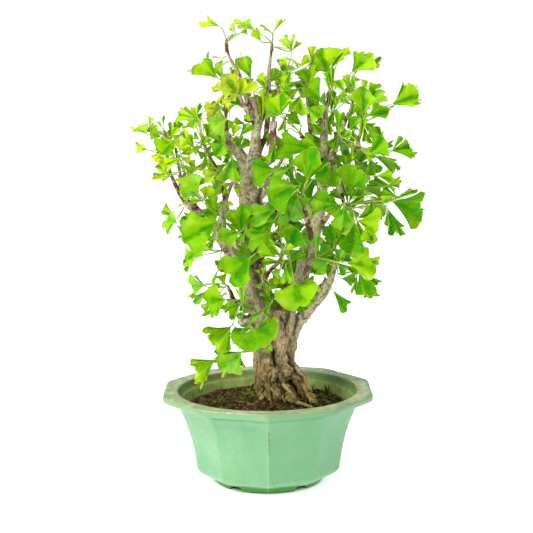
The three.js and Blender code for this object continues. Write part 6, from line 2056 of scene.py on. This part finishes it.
def build_stage(settings):
    scene = bpy.context.scene
    scene.view_settings.view_transform = "Standard"
    scene.view_settings.look = "None"
    centre = Vector(POT_AXIS)
    floor_mesh = bpy.data.meshes.new("floor")
    floor_mesh.from_pydata(
        [(x * FLOOR_REACH, y * FLOOR_REACH, POT_LOW.z - FLOOR_DROP)
         for x, y in ((-1, -1), (1, -1), (1, 1), (-1, 1))], [], [(0, 1, 2, 3)])
    f = Finish("white_table")
    f.base = f.ramp(f.noise(3), (0.3, (0.93, 0.93, 0.93)), (0.7, (0.95, 0.95, 0.95)))
    # painted contact shadow: the floor gives off no light within 62 mm of the pot's axis, and its full
    # light from 80 mm out
    far = (f.axis("X") * f.axis("X") + f.axis("Y") * f.axis("Y")) ** 0.5
    floor = piece_of(floor_mesh, "floor", f.surface(
        0.85, Specular_IOR_Level=0.1, Emission_Strength=0.72,
        Emission_Color=f.blend(far.between(0.062, 0.08), (0, 0, 0), (0.93, 0.97, 1.0))))

    world = bpy.data.worlds.new("white_room")
    world.use_nodes = True
    nodes, links = world.node_tree.nodes, world.node_tree.links
    seen = nodes.new("ShaderNodeLightPath")
    mix = nodes.new("ShaderNodeMixShader")
    room, paper = nodes["Background"], nodes.new("ShaderNodeBackground")
    room.inputs["Color"].default_value = (1.0, 0.97, 0.88, 1)
    room.inputs["Strength"].default_value = settings.ambient
    paper.inputs["Color"].default_value = (1, 1, 1, 1)
    paper.inputs["Strength"].default_value = PAPER_STRENGTH
    links.new(seen.outputs["Is Camera Ray"], mix.inputs[0])
    links.new(room.outputs[0], mix.inputs[1])
    links.new(paper.outputs[0], mix.inputs[2])
    links.new(mix.outputs[0], nodes["World Output"].inputs[0])
    scene.world = world

    def soft_light(name, place, size, power):
        light = bpy.data.lights.new(name, "AREA")
        light.shape = "DISK"
        light.size = size
        light.energy = power
        light.color = settings.light
        lamp = bpy.data.objects.new(name, light)
        lamp.location = centre + Vector(place)
        aim = centre + Vector((0, 0, 0.3)) - lamp.location
        lamp.rotation_euler = aim.to_track_quat("-Z", "Y").to_euler()
        scene.collection.objects.link(lamp)

    soft_light("key_light", (-1.7, -1.3, 2.0), 1.1, settings.key)
    soft_light("fill_light", (1.6, -1.3, 1.2), 1.4, settings.fill)

    camera = bpy.data.cameras.new("front_camera")
    camera.sensor_fit = "HORIZONTAL"
    camera.sensor_width = SENSOR_WIDTH
    camera.lens = SENSOR_WIDTH * SHEET_FOCUS / SHEET_SIZE
    camera.clip_end = 100
    view = bpy.data.objects.new("front_camera", camera)
    turn = Matrix.Rotation(math.pi / 2 - SHEET_PITCH, 4, "X") @ Matrix.Rotation(
        SHEET_ROLL, 4, "Z")
    view.matrix_world = Matrix.Translation(centre + Vector((EYE * MM).tolist())) @ turn
    scene.collection.objects.link(view)
    scene.camera = view


# ------------------------------------------------------------------ the add-on
class BONSAI_OT_pot(bpy.types.Operator):
    """Build the glazed ten-sided pot"""

    bl_idname = "bonsai.build_pot"
    bl_label = "Build the pot"

    def execute(self, context):
        build_pot(context.scene.bonsai_pot)
        return {"FINISHED"}


class BONSAI_OT_soil(bpy.types.Operator):
    """Build the potting soil"""

    bl_idname = "bonsai.build_soil"
    bl_label = "Build the soil"

    def execute(self, context):
        build_soil(context.scene.bonsai_soil)
        return {"FINISHED"}


class BONSAI_OT_cover(bpy.types.Operator):
    """Strew the soil with crumbs, twigs, moss and seedlings"""

    bl_idname = "bonsai.build_cover"
    bl_label = "Build the ground cover"

    def execute(self, context):
        build_cover(context.scene.bonsai_cover)
        return {"FINISHED"}


class BONSAI_OT_wood(bpy.types.Operator):
    """Build the trunk, its limbs and roots, and the twigs"""

    bl_idname = "bonsai.build_wood"
    bl_label = "Build the wood"

    def execute(self, context):
        build_wood(context.scene.bonsai_wood)
        build_twigs(context.scene.bonsai_wood)
        return {"FINISHED"}


class BONSAI_OT_leaves(bpy.types.Operator):
    """Build the buds, stalks and fan-shaped blades"""

    bl_idname = "bonsai.build_leaves"
    bl_label = "Build the leaves"

    def execute(self, context):
        build_leaves(context.scene.bonsai_leaves)
        return {"FINISHED"}


class BONSAI_OT_stage(bpy.types.Operator):
    """Set out the floor, the lights and the camera"""

    bl_idname = "bonsai.build_stage"
    bl_label = "Build the stage"

    def execute(self, context):
        build_stage(context.scene.bonsai_stage)
        return {"FINISHED"}


SETTINGS = {
    "bonsai_pot": BonsaiPotSettings, "bonsai_soil": BonsaiSoilSettings,
    "bonsai_cover": BonsaiCoverSettings, "bonsai_wood": BonsaiWoodSettings,
    "bonsai_leaves": BonsaiLeafSettings, "bonsai_stage": BonsaiStageSettings,
}
OPERATORS = (
    BONSAI_OT_pot, BONSAI_OT_soil, BONSAI_OT_cover, BONSAI_OT_wood, BONSAI_OT_leaves,
    BONSAI_OT_stage,
)


class BONSAI_PT_looks(bpy.types.Panel):
    """The bonsai's settings and its builders"""

    bl_idname = "BONSAI_PT_looks"
    bl_label = "Bonsai looks"
    bl_space_type = "VIEW_3D"
    bl_region_type = "UI"
    bl_category = "Bonsai"

    def draw(self, context):
        for operator, name in zip(OPERATORS, SETTINGS):
            box = self.layout.box()
            settings = getattr(context.scene, name)
            for key in settings.__annotations__:
                box.prop(settings, key)
            box.operator(operator.bl_idname)


def register():
    for name, group in SETTINGS.items():
        bpy.utils.register_class(group)
        setattr(bpy.types.Scene, name, bpy.props.PointerProperty(type=group))
    for item in (*OPERATORS, BONSAI_PT_looks):
        bpy.utils.register_class(item)


def unregister():
    for item in reversed((*OPERATORS, BONSAI_PT_looks)):
        bpy.utils.unregister_class(item)
    for name, group in SETTINGS.items():
        delattr(bpy.types.Scene, name)
        bpy.utils.unregister_class(group)


def main():
    register()
    for operator in OPERATORS:
        group, name = operator.bl_idname.split(".")
        if getattr(getattr(bpy.ops, group), name)() != {"FINISHED"}:
            raise RuntimeError(f"{operator.bl_label} didn't finish")
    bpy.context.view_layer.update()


if __name__ == "__main__":
    main()
